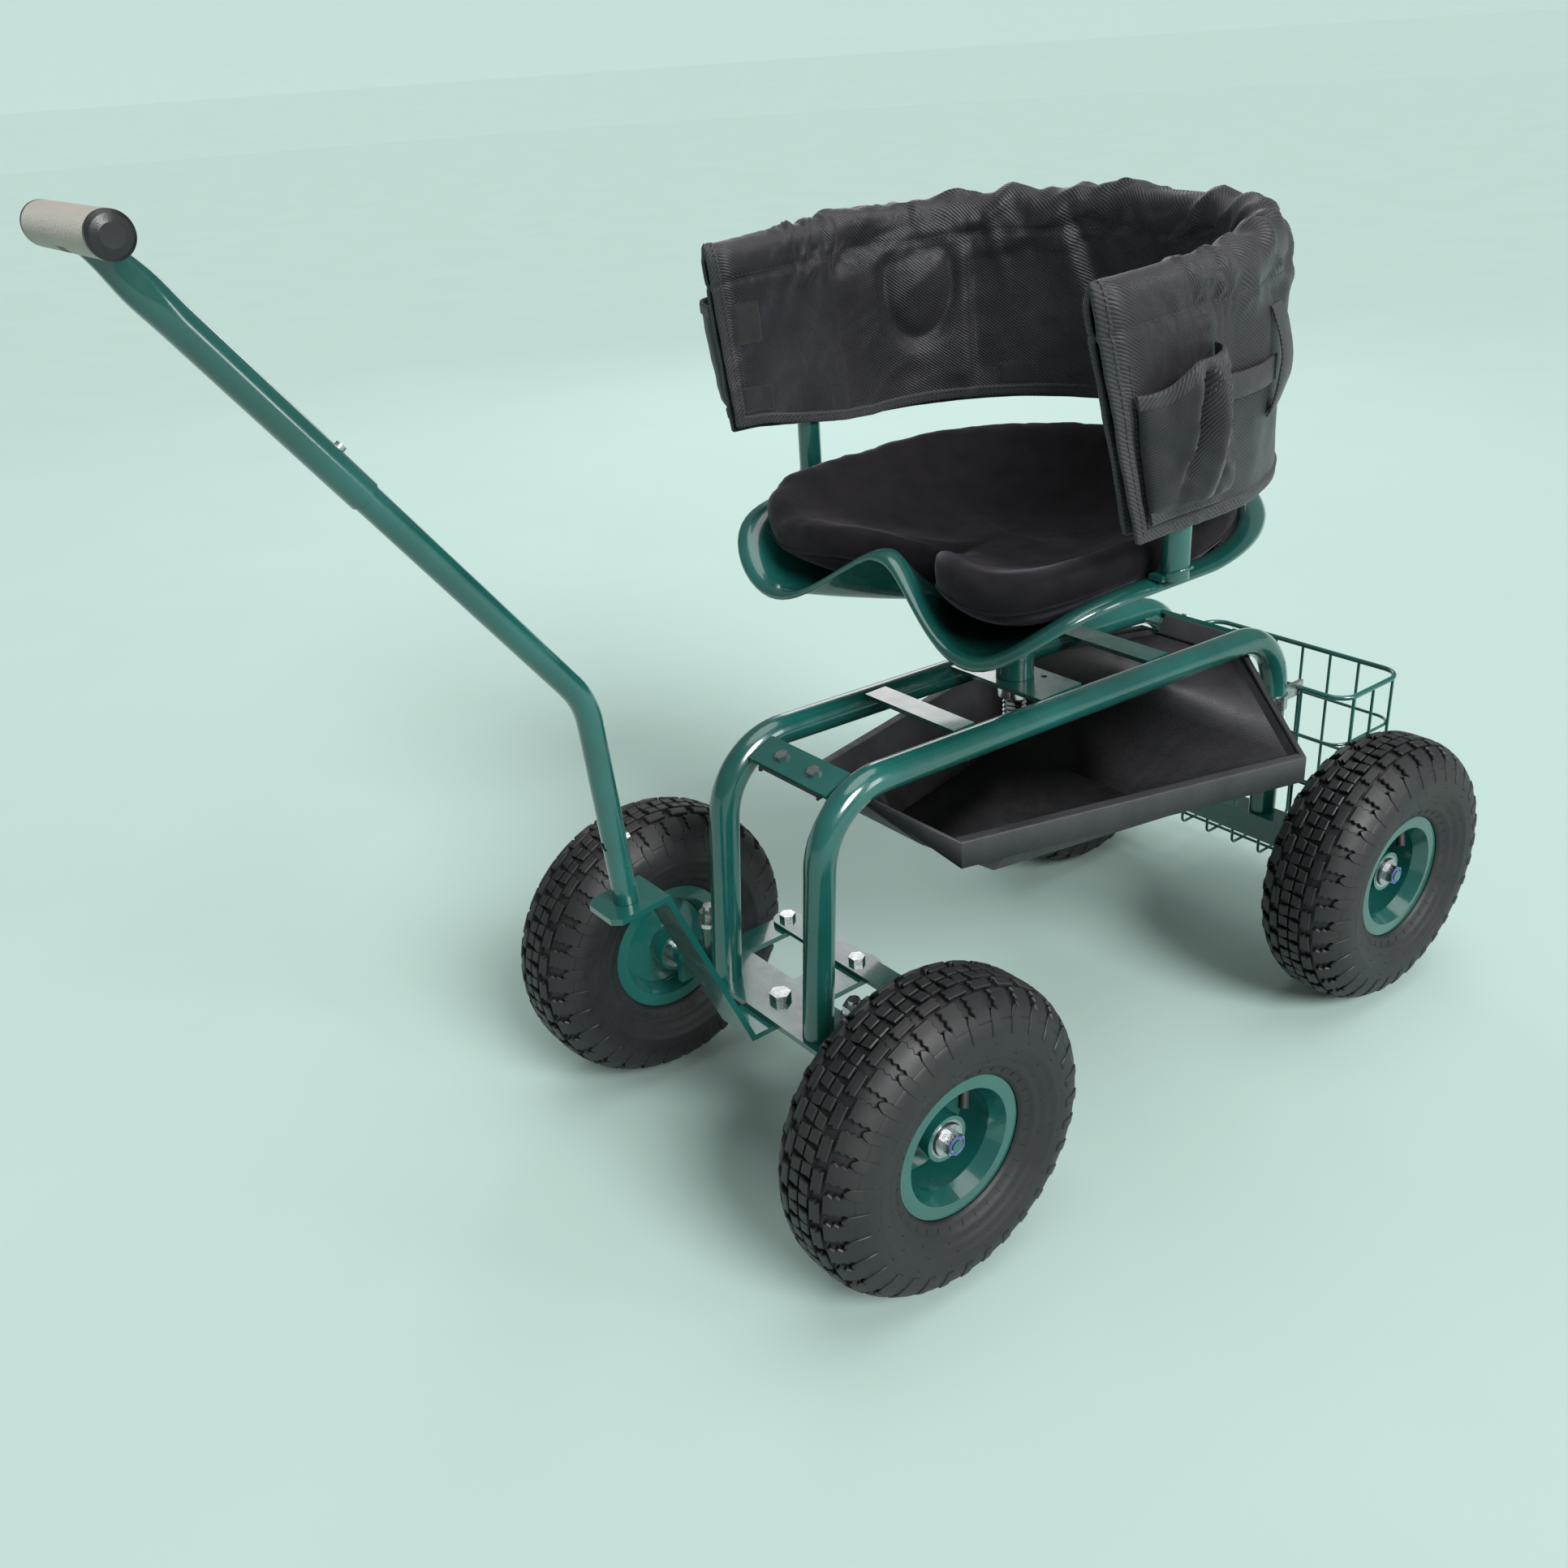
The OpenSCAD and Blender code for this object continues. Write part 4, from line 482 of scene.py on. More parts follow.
def tyre_casing():
    profile = [(CASING_RUN * k, tread_drop(abs(CASING_RUN * k))) for k in range(-50, 51)]
    rings = []
    for turn in full_turn(CASING_STEPS):
        c, s = cos(turn), sin(turn)
        ring = [(-a, r * s, r * c) for a, r in reversed(BEAD)]
        ring += [tread_point(u, turn * TYRE_R, h) for u, h in profile]
        ring += [(a, r * s, r * c) for a, r in BEAD]
        rings.append(ring)
    rings.append(rings[0])
    return Shape().rings(rings, closed=False, cap=False)


def whisker(shape, u, v, side):
    top = tread_point(side * u, v, WHISKER_H)
    w = WHISKER_R
    foot = [tread_point(side * (u + x), v + y, -WHISKER_SINK)
            for x, y in ((-w, 0), (0, w), (w, 0), (0, -w))]
    base = len(shape.v)
    shape.v.extend(foot + [top])
    shape.uv.extend([(0.0, 0.0)] * 5)
    shape.f.extend([(base + i, base + (i + 1) % 4, base + 4) for i in range(4)])


def zigzag(w):
    """Outline of a shoulder block, whose edges run in steps."""
    cuts = [(23.6, w - 8.0, w + 8.0)]
    for j, u in enumerate(ZIG_RUNS):
        zig = 1.5 if j % 2 else -0.4
        fall = -0.35 * max(0, j - 5)
        cuts.append((u, w - 8.6 + zig + fall, w + 8.4 + zig - fall))
    return cuts + [(48.6, w - 9.0, w + 9.0)]


def moved(cuts, by):
    return [(u, by + lo, by + hi) for u, lo, hi in cuts]


def tyre_tread():
    tread = Shape()
    pitch = 2 * pi * TYRE_R / PITCHES
    for k in range(PITCHES):
        for side in (-1, 1):
            v = pitch * (k + (0.25 if side > 0 else -0.25))
            for half in (0, 1):
                w = v + pitch * (0.5 * half - 0.25)
                shift = CENTRE_SLIDE if half else -CENTRE_SLIDE
                block(tread, side, [(u, w + lo + shift * slid, w + hi + shift * slid)
                                    for u, lo, hi, slid in CENTRE_BLOCK], 0.0, 0.7)
            block(tread, side, moved(MIDDLE_BLOCK, v + pitch * 0.12), 0.0, 0.8)
            block(tread, side, zigzag(v + pitch * 0.5), 0.0, 1.0)
            block(tread, side, moved(SIDE_LUG, v), 1.0, 0.6)
            block(tread, side, moved(RIM_TICK, v), 0.55, 0.2)
            if k % 2:
                for u, off in WHISKERS:
                    whisker(tread, u, v + off, side)
    return tread


def put_wheel(shape, centre, side, turn):
    """A wheel shape drawn about the X axis, moved to its axle."""
    placed = Shape()
    c, s = cos(turn), sin(turn)
    placed.v = [(centre[0] + side * x, centre[1] + y * c - z * s, centre[2] + y * s + z * c)
                for x, y, z in shape.v]
    placed.f = list(shape.f) if side > 0 else [tuple(reversed(f)) for f in shape.f]
    placed.uv = list(shape.uv)
    return placed


def seal_ring(shape, x, r, tube_r):
    """A ring round the axle at x, on a bearing's face."""
    path = [Vector((x, r * sin(t), r * cos(t))) for t in full_turn(28)]
    tube(shape, path, tube_r, 8, closed=True)


# A bearing's seal: how far its rings stand out, and the radius and thickness of each
SEAL_OUT = 0.4
SEAL_RINGS = ((13.2, 0.6), (10.2, 0.5))
casing_shape, tread_shape = tyre_casing(), tyre_tread()
for k, (place, row) in enumerate((p, r) for r in ("front", "rear") for p in ("left", "right")):
    node = f"tyre_{row}_{place}"
    lo, hi = (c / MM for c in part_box(node))
    centre = (lo + hi) / 2
    side = 1 if place == "left" else -1
    body = f"wheel_{row}_{place}"
    spin = 0.4 + 1.7 * k
    name = f"{row}_{place}"
    wall = put_wheel(casing_shape, centre, side, spin)
    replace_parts(wall.build("tyre_casing_" + name, body, "tyre_rubber"), node)
    blocks = put_wheel(tread_shape, centre, side, spin)
    blocks.build("tyre_tread_" + name, body, "tyre_rubber", angle=30)
    seal = Shape()
    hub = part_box("bearings_" + name)
    face = max(abs(hub[0].x), abs(hub[1].x)) / MM - abs(centre[0])
    for ring_r, ring_t in SEAL_RINGS:
        seal_ring(seal, SEAL_OUT + face, ring_r, ring_t)
    put_wheel(seal, centre, side, 0).build("bearing_seal_" + name, body, "cap_plastic")


# Camera, floor and light


def aim(az, el, roll, target, distance, lens):
    a, e, r = (radians(x) for x in (az, el, roll))
    back = Vector((sin(a) * cos(e), -cos(a) * cos(e), sin(e)))
    right = Vector((cos(a), sin(a), 0))
    up = back.cross(right)
    right, up = right * cos(r) + up * sin(r), up * cos(r) - right * sin(r)
    cam = linked("camera", bpy.data.cameras.new("camera"))
    m = Matrix((right, up, back)).transposed().to_4x4()
    m.translation = Vector(target) + back * distance
    cam.matrix_world = m
    cam.data.lens = lens
    cam.data.sensor_width = 36
    bpy.context.scene.camera = cam


def lamp(name, kind, power, spot, look):
    """A lamp turned so that it shines from spot towards look."""
    data = bpy.data.lights.new(name, kind)
    data.energy = power
    obj = linked(name, data)
    obj.rotation_euler = (Vector(look) - Vector(spot)).to_track_quat("-Z", "Y").to_euler()
    return obj


def area(name, spot, look, size, power):
    obj = lamp(name, "AREA", power, spot, look)
    obj.location = spot
    obj.data.shape = "RECTANGLE"
    obj.data.size, obj.data.size_y = size


def sun(name, spot, power, angle):
    """A distant lamp; its angle softens the shadows."""
    lamp(name, "SUN", power, spot, (0, 0, 0)).data.angle = radians(angle)


# The floor's rings, flat near the object and rising far away, in millimetres
FLOOR = [(0, 0), (4000, 0), (20000, 0), (32000, 500), (90000, 7000)]
SKY = "#c3ded7"


def floor():
    rings = [[(r * cos(t), r * sin(t), z) for t in full_turn(64)] for r, z in FLOOR]
    shape = Shape().rings(rings, cap=False)
    mesh = bpy.data.meshes.new("floor")
    mesh.from_pydata([Vector(v) * MM for v in shape.v], [], shape.f)
    obj = linked("floor", mesh)
    p = Paint("floor")
    base = p.ramp(p.noise(p.place(), 3.0), [(0.3, tone("#b0c8c1")), (0.7, tone("#b3cac4"))])
    obj.data.materials.append(p.shade(Base_Color=base, Roughness=0.75, Specular_IOR_Level=0.1))


def studio():
    """Pale light from all round, drawn in the floor's own tone where the camera sees past it."""
    world = bpy.data.worlds.new("studio")
    bpy.context.scene.world = world
    world.use_nodes = True
    tree = world.node_tree
    back, seen = tree.nodes["Background"], tree.nodes.new("ShaderNodeBackground")
    back.inputs["Color"].default_value = tone("#e6ecea")
    back.inputs["Strength"].default_value = 0.25
    seen.inputs["Color"].default_value = tone(SKY)
    pick, path = tree.nodes.new("ShaderNodeMixShader"), tree.nodes.new("ShaderNodeLightPath")
    tree.links.new(path.outputs["Is Camera Ray"], pick.inputs[0])
    tree.links.new(back.outputs[0], pick.inputs[1])
    tree.links.new(seen.outputs[0], pick.inputs[2])
    tree.links.new(pick.outputs[0], tree.nodes["World Output"].inputs["Surface"])
    sun("key", (2.0, -0.2, 1.5), 3.4, 26)
    sun("top", (0.2, 0.4, 3.0), 1.2, 50)
    area("side", (2.6, 1.2, 1.1), (0, 0.1, 0.4), (0.5, 1.3), 14)
    area("back", (-2.4, 2.0, 1.8), (0, 0, 0.4), (0.9, 1.6), 12)
    aim(53.6, 26.4, -3.88, (-0.356, 0.1299, 0.125), 1.670, 34.4)
    bpy.context.scene.view_settings.view_transform = "Standard"


# Seat pan: a dished sheet with a rolled edge


# Middle of the seat post, and the height of the pan's flat middle
POST_Y, PAN_Z = 124.886, 440.0
PAN_HALF_W, PAN_FRONT, PAN_BACK, PAN_SQUARE = 187, 168, 166, 6
PAN_WALL = 2.5
# The front edge's recess, and the ridge between the thighs
RECESS, RECESS_SHARE, RIDGE_ROUND = 31, 0.48, 14
# The edge's rise at the sides, its further rise at the back, and its dip under each thigh
SIDE_RISE, BACK_RISE, THIGH_DIP = 67, 19, 52
FLAT_SHARE, DISH_POWER = 0.27, 1.75
# The rolled edge: how far out and up each point lies from the edge
PAN_LIP = [(2.5, 0.7), (5.5, 1.1), (8.5, 1.0), (11.5, 0.5), (14.0, -0.4), (15.8, -1.7),
           (16.9, -3.4), (17.0, -5.3), (16.1, -6.4), (14.9, -5.9), (14.6, -4.4), (13.4, -3.2),
           (11.0, -2.2), (8.0, -1.6), (5.0, -1.5), (2.5, -1.9)]


def reach(a, hw, front, back, n):
    """Distance of an outline from the post: an ellipse behind, a squarer curve in front."""
    c, s = cos(a), sin(a)
    if s >= 0:
        return 1 / sqrt((c / hw) ** 2 + (s / back) ** 2)
    return ((abs(c) / hw) ** n + (abs(s) / front) ** n) ** (-1 / n)


def pan_r(a):
    cut = 0.0 if sin(a) >= 0 else RECESS * hump(cos(a), 0, RECESS_SHARE)
    return reach(a, PAN_HALF_W, PAN_FRONT, PAN_BACK, PAN_SQUARE) - cut


def thigh(a):
    """0 on the ridge and at the sides, 1 under the middle of a thigh."""
    if sin(a) >= 0:
        return 0.0
    side = hypot(cos(a) * pan_r(a), RIDGE_ROUND) - RIDGE_ROUND
    off = side / (hypot(PAN_HALF_W, RIDGE_ROUND) - RIDGE_ROUND)
    return sin(pi * min(1, off) ** 1.1)


def edge_rise(a):
    return SIDE_RISE + BACK_RISE * max(0, sin(a)) - THIGH_DIP * thigh(a)


def dish(s):
    return 0 if s < FLAT_SHARE else ((s - FLAT_SHARE) / (1 - FLAT_SHARE)) ** DISH_POWER


def pan_rise(a, s):
    return edge_rise(a) * dish(s)


def pan_at(a, s, out=0.0, lift=0.0):
    r = s * pan_r(a) + out
    return (r * cos(a), POST_Y + r * sin(a), PAN_Z + pan_rise(a, s) + lift)


def seat_pan():
    turns = full_turn(180)
    steps = [0.04, 0.14, 0.24, FLAT_SHARE]
    steps += [FLAT_SHARE + (1 - FLAT_SHARE) * k / 22 for k in range(1, 23)]
    rings = [[pan_at(a, s) for a in turns] for s in steps]
    rings += [[pan_at(a, 1, out, lift) for a in turns] for out, lift in PAN_LIP]
    rings += [[pan_at(a, s, 0, -PAN_WALL) for a in turns] for s in reversed(steps)]
    obj = Shape().rings(rings).build("pan_shell", "seat", "frame_green", angle=60)
    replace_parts(obj, "seat_pan")


# Cushion: a padded cover over foam, with a notch in front


PAD_HALF_W, PAD_FRONT, PAD_BACK, PAD_SQUARE = 181, 160, 160, 4.5
NOTCH, NOTCH_SHARE = 88, 0.3
# The foam bridges this much of the pan's dip under each thigh
PAD_BRIDGE = 31.2
PAD_T, PAD_GAP = 44, 0.9
# How much of its thickness the pad has at the edge, and how far its top rolls over there
EDGE_SHARE, ROLL = 0.8, 6.5
# The top is drawn this much inside the side's widest line
TOP_SHARE = 0.985
# The side's profile: share of the outline's reach, and height
PAD_SIDE = [(0.990, 1.2), (1.004, 4.6), (1.012, 8.8), (1.017, 13.0), (1.016, 17.5), (1.010, 22.0),
            (0.999, 26.0)]
WELT_R, WELT_Z, WELT_SHARE = 1.0, 3.6, 1.002


def pad_rise(a, s):
    return (edge_rise(a) + PAD_BRIDGE * thigh(a)) * dish(s)


def pad_r(a):
    cut = 0.0 if sin(a) >= 0 else NOTCH * hump(cos(a), 0, NOTCH_SHARE)
    return reach(a, PAD_HALF_W, PAD_FRONT, PAD_BACK, PAD_SQUARE) - cut


def pad_at(a, s, h):
    r = s * pad_r(a)
    z = PAN_Z + pad_rise(a, min(1, r / pan_r(a))) + PAD_GAP + h
    return (r * cos(a), POST_Y + r * sin(a), z)


def crown(s):
    return PAD_T * (EDGE_SHARE + (1 - EDGE_SHARE) * (1 - s ** 4)) - ROLL * s ** 14


def cushion():
    turns = full_turn(200)
    inner = [0.08, 0.2, 0.34, 0.48, 0.6, 0.7, 0.79, 0.86, 0.92, 0.96]
    rings = [[pad_at(a, s * TOP_SHARE, 0) for a in turns] for s in inner]
    rings += [[pad_at(a, s, h) for a in turns] for s, h in PAD_SIDE]
    rings += [[pad_at(a, s * TOP_SHARE, crown(s)) for a in turns] for s in [0.995] + inner[::-1]]
    obj = Shape().rings(rings).build("pad", "seat", "cushion_fabric", angle=70)
    soften(obj)
    crease(obj)
    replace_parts(obj, "seat_cushion")
    welt = Shape()
    tube(welt, [pad_at(a, WELT_SHARE, WELT_Z) for a in turns], WELT_R, 8, closed=True)
    welt.build("pad_welt", "seat", "cushion_fabric", angle=80)


# The cloth step: its length in frames, how far a point may move, and how high the hem is held
CLOTH_FRAMES, CLOTH_STEP, HELD = 14, 3, 3.0


def soften(obj):
    """Fills the cover by cloth pressure, close to its drawn shape."""
    cloth = obj.modifiers.new("cloth", "CLOTH")
    group = obj.vertex_groups.new(name="held")
    low = [v.index for v in obj.data.vertices if v.co.z < (PAN_Z + pad_rise_at(v.co) + HELD) * MM]
    group.add(low, 1.0, "REPLACE")
    s = cloth.settings
    s.quality = 6
    s.mass = 0.25
    s.tension_stiffness = s.compression_stiffness = 18
    s.shear_stiffness = 6
    s.bending_stiffness = 0.6
    s.use_pressure = True
    s.uniform_pressure_force = 3.0
    s.vertex_group_mass = "held"
    s.effector_weights.gravity = 0
    cloth.collision_settings.use_collision = False
    cloth.point_cache.frame_start, cloth.point_cache.frame_end = 1, CLOTH_FRAMES
    scene = bpy.context.scene
    for f in range(1, CLOTH_FRAMES + 1):
        scene.frame_set(f)
    got = obj.evaluated_get(bpy.context.evaluated_depsgraph_get()).to_mesh()
    moved = [v.co.copy() for v in got.vertices]
    obj.modifiers.remove(cloth)
    obj.vertex_groups.remove(group)
    for v, new in zip(obj.data.vertices, moved):
        step = new - v.co
        if step.length > CLOTH_STEP * MM:
            step = step.normalized() * CLOTH_STEP * MM
        v.co = v.co + step
    scene.frame_set(1)


def pad_rise_at(co):
    x, y = co.x / MM, co.y / MM - POST_Y
    a = atan2(y, x) % (2 * pi)
    return pad_rise(a, min(1, hypot(x, y) / pan_r(a)))


# Height of the side's wrinkles and of the top's dents
WRINKLE, DENT = 2.4, 0.7


def crease(obj):
    """Wrinkles of the loose cover on its turned sides, strongest by the notch."""
    for v in obj.data.vertices:
        x, y = v.co.x / MM, v.co.y / MM - POST_Y
        a = atan2(y, x) % (2 * pi)
        h = v.co.z / MM - PAN_Z - pad_rise_at(v.co)
        r = hypot(x, y) / pad_r(a)
        edge = smooth((r - 0.72) / 0.25) * smooth(h / 8)
        front = 1.0 if sin(a) < 0 else 0.45
        run = a * 160
        n = ripple(run / 16, h / 22, 3.1) + 0.5 * ripple(run / 7, h / 12, 8.4)
        lift = WRINKLE * edge * front * n + DENT * ripple(x / 40, y / 40, 0.3) * smooth(h / 20)
        out = Vector((cos(a), sin(a), 0.6)).normalized()
        v.co += out * lift * MM


# Back cover: a sheet hung over the hoop, sewn and bound


# The hoop leans back, and is an oval of these half axes with two straight arms in front
TILT = radians(3.5)
HOOP_Z, ARM_Y, OVAL, HALF_W = 717.0, 25.0, 181.0, 205.0
# Length of an arm with the cloth past its end, and its share of the way q along the cover
ARM_LEN, ARM = 111, 0.22
HOOP_RUN = 830
# Radius of the fold over the hoop, the least that clears it, and the drop of each panel
OVER_R, CLEAR_R, DROP = 13.0, 12.9, 165.0
QUARTER = OVER_R * pi / 2
# Each hoop post stands this far along its arm, and the cloth lies flat round it
POST_BACK, POST_STRETCH = 84, 52
# The seam along both panels, below the hoop
SEAM_RUN = 36
# Peaks and hollows of the folded top: place along the cover, width and height
PEAKS = [(0.765, 0.020, 6.0), (0.660, 0.016, 7.0), (0.615, 0.014, 5.0), (0.515, 0.018, 9.0),
         (0.39, 0.03, 4.0), (0.275, 0.022, 8.0), (0.47, 0.022, -9.0), (0.70, 0.02, -3.0),
         (0.86, 0.05, 2.0), (0.335, 0.02, -4.0), (0.303, 0.008, 4.5), (0.352, 0.009, 4.0),
         (0.425, 0.011, 5.0), (0.562, 0.009, 4.0), (0.235, 0.012, 5.0)]


def hoop_at(q):
    """A point of the hoop's centre line, and the direction that points out of it."""
    if q < ARM:
        return HALF_W, (q / ARM - 1) * ARM_LEN - ARM_Y, 0.0
    if q > 1 - ARM:
        return -HALF_W, ((1 - q) / ARM - 1) * ARM_LEN - ARM_Y, pi
    t = pi * (q - ARM) / (1 - 2 * ARM)
    x, y = HALF_W * cos(t), OVAL * sin(t) - ARM_Y
    return x, y, atan2(HALF_W * sin(t), OVAL * cos(t))


def tilted(x, y, z, lean, y0, z0):
    """A point of a frame that leans back about the X axis."""
    c, s = cos(lean), sin(lean)
    return Vector((x, y0 + y * c - z * s, z0 + y * s + z * c))


def from_hoop(x, y, z):
    return tilted(x, y, z, TILT, POST_Y, HOOP_Z)


def post_near(q):
    """1 where a hoop post passes the cover, 0 away from it."""
    run = min(q, 1 - q) / ARM * ARM_LEN - POST_BACK
    return exp(-((run / POST_STRETCH) ** 4))


def top_rise(q):
    return sum(h * hump(q, at, w) for at, w, h in PEAKS)


def inner_form(q, deep):
    """How far the inner panel stands towards the seat at a depth below the hoop."""
    below = smooth((deep - 14) / 22)
    ring = hypot((q - 0.6975) / 0.031, (deep - 52) / 50)
    out = below * (7.0 * hump(ring, 0, 0.75) - 6.5 * hump(ring, 1.0, 0.2))
    out += 5.5 * hump(q, 0.86, 0.045) * smooth(deep / 60)
    out -= 3.0 * hump(q, 0.775, 0.03) * smooth(deep / 70)
    out += 3.2 * tanh((q - 0.652) / 0.0022) * hump(q, 0.655, 0.02) * below
    fold = 0.632 - 0.0002 * deep
    out += 3.5 * hump(q, fold, 0.005) * (1 - smooth((deep - 20) / 50))
    fold = 0.568 - 0.00028 * deep
    fade = 1 - smooth((deep - 60) / 70)
    out += 6.0 * tanh((q - fold) / 0.004) * hump(q, fold, 0.028) * fade
    out += 4.0 * hump(q, 0.46, 0.025) - 5.0 * hump(q, 0.425, 0.02) + 4.0 * hump(q, 0.385, 0.02)
    return out


def outer_form(q, deep):
    """How far the outer panel stands off at a depth below the hoop."""
    out = 3.0 * hump(q, 0.30, 0.02) * smooth(deep / 40) - 2.5 * hump(q, 0.345, 0.02)
    out += 4.5 * hump(q, 0.245, 0.014) * smooth((deep - 20) / 60)
    middle = smooth((q - 0.24) / 0.08) * smooth((0.76 - q) / 0.08)
    out += 3.5 * sin(q * 31 + 1.0) * smooth(deep / 90) * middle
    return out


def cover_at(q, s):
    """A point of the cover.

    q runs along the hoop, and s from the outer hem (-1) over the top (0) to the inner hem (1).
    """
    x, y, turn = hoop_at(q)
    left, end = q < 0.5, min(q, 1 - q)
    ends = min(1, 4 * end)
    calm = smooth((end - 0.06) / 0.12)
    post = post_near(q)
    drop = DROP - (4 if left else 22) * (1 - ends) - (5.0 if s > 0 else 0.0)
    run = abs(s) * (drop + QUARTER)
    side = -1 if s > 0 else 1
    over = OVER_R * (1 - 0.74 * smooth((0.0135 - end) / 0.0135))
    if run < QUARTER:
        t = run / OVER_R
        out = side * over * sin(t)
        z = OVER_R * cos(t) - 0.5 * (OVER_R - over) * sin(t)
        normal = (side * sin(t), cos(t))
        deep = 0.0
    else:
        deep = run - QUARTER
        share = deep / drop
        width = over + (4.8 + 8.0 * post - over) * smooth(share * 0.96)
        out, z = side * width, -deep - 0.5 * (OVER_R - over) * (1 - share)
        normal = (side, 0.0)
    z += top_rise(q) * exp(-((run / 26) ** 2))
    form = (inner_form(q, deep) if side < 0 else outer_form(q, deep)) * calm
    flat_hem = 1 - 0.75 * smooth((deep - drop + 26) / 26)
    form *= smooth((run - 10) / 22) * flat_hem * (1 - 0.9 * post)
    along = q * HOOP_RUN
    loose = 1 - smooth((run - 46) / 14)
    crumple = ripple(along / 17 + run / 40, run / 30, 1.7 if side < 0 else 5.2)
    crumple += 0.6 * ripple(along / 8, run / 16, 9.1)
    crumple += 0.9 - 3.2 * abs(ripple(along / 34 - run / 30, run / 46 + along / 90, 2.4))
    form += (2.6 * loose * calm + 0.5) * crumple
    form -= 1.9 * hump(run, SEAM_RUN, 2.4)
    form += ripple(along / 38, run / 60, 4.0 + side) * 1.3 * (1 - post) * smooth(deep / 30)
    out += normal[0] * form
    z += normal[1] * form
    if z > -6:
        short = CLEAR_R * over / OVER_R / max(1e-6, hypot(out, max(0.0, z)))
        if short > 1:
            out, z = out * short, z * short if z > 0 else z
    out += 6 * max(0, -z) / DROP * (1 - post)
    back = (0.2 if left else 0.09) * (1 - ends) * max(0, -z)
    ahead = -14 * smooth(1 - end / 0.03)
    return from_hoop(x + cos(turn) * out, y + sin(turn) * out + back + ahead, z)


def cover_normal(q, s):
    a = cover_at(min(1, q + 0.002), s) - cover_at(max(0, q - 0.002), s)
    b = cover_at(q, min(1, s + 0.008)) - cover_at(q, max(-1, s - 0.008))
    return a.cross(b).normalized()


Q_STEPS, S_STEPS = 300, 108
CLOTH_T = 2.2
# The binding tape's section: depth from the cloth's edge, and distance from its middle
HEM = [(-1.3, 0.0), (-1.1, 1.3), (0.3, 2.1), (2.0, 1.9), (3.2, 2.2), (4.8, 1.9), (6.4, 2.2),
       (8.0, 1.9), (8.4, 1.2)]
HEM = HEM + [(b, -n) for b, n in reversed(HEM[1:])]
HEM_PITCH = 0.0013


def cover_cloth():
    rows = grid(Q_STEPS, S_STEPS, lambda q, b: cover_at(q, -1 + 2 * b))
    uv = grid(Q_STEPS, S_STEPS, lambda q, b: (q * HOOP_RUN * MM, b * 0.37))
    shape = Shape().rings(rows, closed=False, cap=False, uv=uv)
    return thicken(shape.build("cover_cloth", "seat", "cover_fabric", angle=70), CLOTH_T)


def tape_along(points, inward, normals, name):
    """Binding tape folded over a cloth edge, with its ribs."""
    rings, uv, run = [], [], 0.0
    for k, (p, b, n) in enumerate(zip(points, inward, normals)):
        run += (p - points[k - 1]).length * MM if k else 0.0
        rings.append([p + b * x + n * y for x, y in HEM])
        uv.append([(run, i * HEM_PITCH) for i in range(len(HEM))])
    return Shape().rings(rings, uv=uv).build(name, "seat", None, TAPE, angle=55)


def edge_tape(name, line, dq, ds):
    """Tape along (q, s) pairs on the cover's edge; the cloth lies towards (dq, ds)."""
    pts = [cover_at(q, s) for q, s in line]
    into = [(cover_at(q + dq, s + ds) - p).normalized() for (q, s), p in zip(line, pts)]
    return tape_along(pts, into, [cover_normal(q, s) for q, s in line], "binding_" + name)


def cover_bindings():
    """Tape round both hems and both ends."""
    hems = [edge_tape(name, [(k / 260, s) for k in range(261)], 0, ds)
            for name, s, ds in (("hem_outer", -1.0, 0.02), ("hem_inner", 1.0, -0.02))]
    ends = [edge_tape(name, [(q, -1 + 2 * k / 150) for k in range(151)], dq, 0)
            for name, q, dq in (("end_left", 0.0, 0.006), ("end_right", 1.0, -0.006))]
    return hems + ends


def stitch_row(shape, line, gap=4.4, long=2.9, r=0.42, lift=1.3):
    """Stitches along a line of (q, s) pairs on the cover."""
    pts = [cover_at(q, s) + cover_normal(q, s) * lift for q, s in line]
    run, last = 0.0, None
    travelled, k = 0.0, 1
    while k < len(pts):
        a, b = pts[k - 1], pts[k]
        piece = (b - a).length
        if piece > 1e-6 and travelled + piece >= run:
            t = (run - travelled) / piece
            p = a + (b - a) * t
            if last is not None:
                way = p - last
                if way.length > 0.5:
                    capsule(shape, last, last + way.normalized() * min(long, way.length * 0.7), r)
            last = p
            run += gap
        else:
            travelled += piece
            k += 1


# Hook tape on the inner panel: its first and last q, and its first and last s
PATCHES = [(0.955, 0.99, 0.35, 0.56), (0.945, 0.99, 0.80, 0.93), (0.598, 0.63, 0.84, 0.95)]


def cover_stitches():
    shape = Shape()
    for s in (-0.965, 0.965):
        stitch_row(shape, [(k / 400, s) for k in range(4, 397)], lift=2.4)
    seam = SEAM_RUN / (DROP + QUARTER)
    for s in (-seam - 0.01, seam + 0.01):
        stitch_row(shape, [(k / 400, s) for k in range(5, 396)])
    for q in (0.007, 0.993):
        stitch_row(shape, [(q, -0.97 + 1.94 * k / 200) for k in range(201)], lift=2.4)
        for s0 in (-0.96, 0.3):
            inner = q + (0.006 if q < 0.5 else -0.006)
            stitch_row(shape, [(inner, s0 + 0.66 * k / 90) for k in range(91)])
    stitch_row(shape, [(0.652, 0.24 + 0.72 * k / 80) for k in range(81)])
    for q0, q1, s0, s1 in PATCHES:
        corners = [(q0, s0), (q1, s0), (q1, s1), (q0, s1), (q0, s0)]
        line = [(q + (q_end - q) * k / 20, s + (s_end - s) * k / 20)
                for (q, s), (q_end, s_end) in zip(corners, corners[1:]) for k in range(21)]
        stitch_row(shape, line, 3.6, 2.4, 0.36)
    return shape.build("cover_stitching", "seat", None, THREAD, angle=60)


